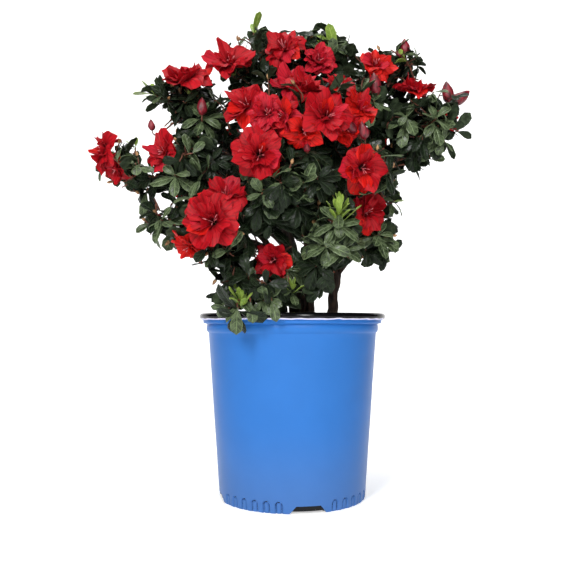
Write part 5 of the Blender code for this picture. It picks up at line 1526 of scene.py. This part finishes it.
def makeSepals():
    # green lobes hold each bloom's tube: they run out and forward, and the half width closes as 1 − s²
    dice = np.random.default_rng(71)
    lobes, rows, columns = sepal["lobes"], sepal["rows"], sepal["columns"]
    turns = np.arange(lobes) * 2 * np.pi / lobes
    owner, turn = np.repeat(np.arange(len(blooms)), lobes), np.tile(turns, len(blooms))[:, None]
    axis = bloomAxis[owner]
    spoke = rotated(across(axis), axis, turn)
    along, over = gridOf(np.linspace(0, 1, rows), np.linspace(-1, 1, columns))
    length = dice.uniform(*sepal["length"], (len(owner), 1, 1, 1))
    out = sepal["throat"] + along[..., None] * length * sepal["out"]
    forward = axis[:, None, None] * along[..., None] * length * sepal["forward"]
    half = sepal["halfWidth"] * (1 - along**2)[..., None] + sepal["tip"]
    side = np.cross(axis, spoke)[:, None, None]
    grid = (bloomBack[owner][:, None, None] - axis[:, None, None] * sepal["sunk"] + spoke[:, None, None] * out
            + forward + side * half * over[..., None])
    addPiece("sepals", thicken(grid, sepal["thickness"]), sheetCopies(rows, columns, len(owner)),
             [grained["sepals"]], nodes=massesOf(blooms), sharp=60)


makeSepals()


# kind of bud: name, material, depth of its ridges, and slot
budKinds = (("flower_buds", "budSkin", 0.10, "petals"), ("leaf_buds", "budScales", 0.16, "bark"))
budShape = {"rings": 11, "sides": 12, "ridges": 3, "winding": 6, "stub": 0.06}


def makeBuds():
    # a bud's radius is a sine of its share of length, fullest below the middle, with ridges that wind up it
    rings, sides = budShape["rings"], budShape["sides"]
    t = np.linspace(0, 1, rings)[:, None]
    turn = around(sides)[None]
    for kind, (name, material, ridge, slot) in enumerate(budKinds):
        place, axis, length, radius = (
            np.array(part) for part in zip(*(bud[:4] for bud in budsGrown if bud[4] == kind)))
        full = np.sin(np.pi * t**0.75) ** 0.8 + budShape["stub"]
        ridges = 1 + ridge * np.cos(budShape["ridges"] * turn + budShape["winding"] * t)
        first = across(axis)
        second = np.cross(axis, first)[:, None, None]
        ring = first[:, None, None] * np.cos(turn)[..., None] + second * np.sin(turn)[..., None]
        forward = axis[:, None, None] * (t * length[:, None, None])[..., None]
        points = place[:, None, None] + forward + ring * (full * ridges * radius[:, None, None])[..., None]
        addPiece(name, points.reshape(-1, 3), tubeCopies(rings, sides, len(place)), [grained[material]],
                 nodes=massNodes, sharp=80)


makeBuds()


# Floor, light and eye

# nearGlow and farGlow: how far from the plant's foot, and how strong the floor's glow is, which is painted light
floorLook = {
    "roughness": 0.9, "nearGlow": (0.14, 0.52), "farGlow": (0.80, 0.20), "tints": ("#f1f1f1", "#f6f6f6"),
    "halfWidth": 6, "front": -5, "back": 3, "bend": 1.5, "wall": 4, "columns": 3, "rows": 40}


def makeFloor():
    # a wide pale sheet: flat from front to back, then a quarter turn up into a wall. It glows faintly, and most
    # round the plant: painted light that washes out the shadows round the pot and lights its foot
    material, nodes, shader = newMaterial(
        "glowingMatteBoard", Roughness=floorLook["roughness"], Emission_Color=hexToLinear("#ffffff"))
    place = addNode(nodes, "TexCoord")
    away = addNode(nodes, "VectorMath", {0: place.outputs["Object"]}, operation="LENGTH")
    (near, nearGlow), (far, farGlow) = floorLook["nearGlow"], floorLook["farGlow"]
    glow = addNode(nodes, "MapRange", {
        "Value": away.outputs["Value"], "From Min": near, "From Max": far,
        "To Min": nearGlow, "To Max": farGlow})
    faint = addNode(nodes, "TexNoise", {"Vector": place.outputs["Object"], "Scale": 1.5})
    dark, light = floorLook["tints"]
    tint = addNode(nodes, "ValToRGB", {"Fac": faint}, stops=((0.3, dark), (0.7, light)))
    link(shader, Emission_Strength=glow, Base_Color=tint)
    rows, columns, flat = floorLook["rows"], floorLook["columns"], 0.6
    wide, along = gridOf(np.linspace(-1, 1, columns) * floorLook["halfWidth"], np.linspace(0, 1, rows))
    angle = np.clip((along - flat) / (1 - flat), 0, 1) * np.pi / 2
    front, back, radius = floorLook["front"], floorLook["back"], floorLook["bend"]
    y = np.where(along < flat, front + along / flat * (back - front), back + radius * np.sin(angle))
    z = np.where(along < flat, 0, radius - radius * np.cos(angle))
    z = z + np.where(along > 0.995, floorLook["wall"], 0)
    corner = (np.arange(columns - 1)[:, None] * rows + np.arange(rows - 1)).ravel()
    faces = np.stack([corner, corner + rows, corner + rows + 1, corner + 1], 1)
    mesh = bpy.data.meshes.new("floor")
    mesh.from_pydata(np.stack([wide, y, z], -1).reshape(-1, 3).tolist(), [], faces.tolist())
    mesh.materials.append(material)
    mesh.shade_smooth()
    floor = addObject("floor", mesh)


# Softboxes: place, what each points at, its width and height, and its power in watts
softboxes = {
    "left": ((-1.05, -2.60, 1.60), (0, 0, 0.3), 0.6, 1.4, 72.0),
    "right": ((0.70, -2.65, 1.30), (0, 0, 0.25), 0.5, 1.4, 38.0),
    "top": ((-0.1, -0.1, 2.7), (0, 0, 0.4), 1.3, 1.1, 46.0),
    "backdropLeft": ((-2.0, 1.6, 1.9), (-0.8, 4.2, 0.9), 1.5, 1.5, 68.0),
    "backdropRight": ((2.0, 1.6, 1.9), (0.8, 4.2, 0.9), 1.5, 1.5, 68.0)}
worldStrength = 0.02


def pointAt(thing, place, target):
    # turns a thing at place so that it looks at target, with its own up near Z
    back = unit(np.array(place) - np.array(target))
    right = unit(np.cross(up, back))
    turn = np.eye(4)
    turn[:3, :3] = np.stack([right, np.cross(back, right), back], 1)
    turn[:3, 3] = place
    thing.matrix_world = turn.T.tolist()


def makeLight():
    # the softboxes, and a faint even light from all round
    world = bpy.data.worlds.new("studio")
    bpy.context.scene.world = world
    world.use_nodes = True
    background = world.node_tree.nodes["Background"]
    background.inputs["Color"].default_value = hexToLinear("#ffffff")
    background.inputs["Strength"].default_value = worldStrength
    for name, (place, target, width, height, power) in softboxes.items():
        lamp = bpy.data.lights.new(name, "AREA")
        lamp.shape, lamp.size, lamp.size_y, lamp.energy = "RECTANGLE", width, height, power
        pointAt(addObject(name, lamp), place, target)


def makeEye():
    # a camera at the eye's place that looks level to the back and a little up
    lens = bpy.data.cameras.new("eye")
    lens.lens, lens.sensor_width = view["lens"], view["sensor"]
    lens.clip_start, lens.clip_end = 0.01, 50
    eye = addObject("eye", lens)
    place = np.array(view["place"])
    pointAt(eye, place, place + [0, math.cos(view["rise"]), math.sin(view["rise"])])
    bpy.context.scene.camera = eye
    bpy.context.scene.view_settings.view_transform = "Standard"


makeFloor()
makeLight()
makeEye()
print("done")
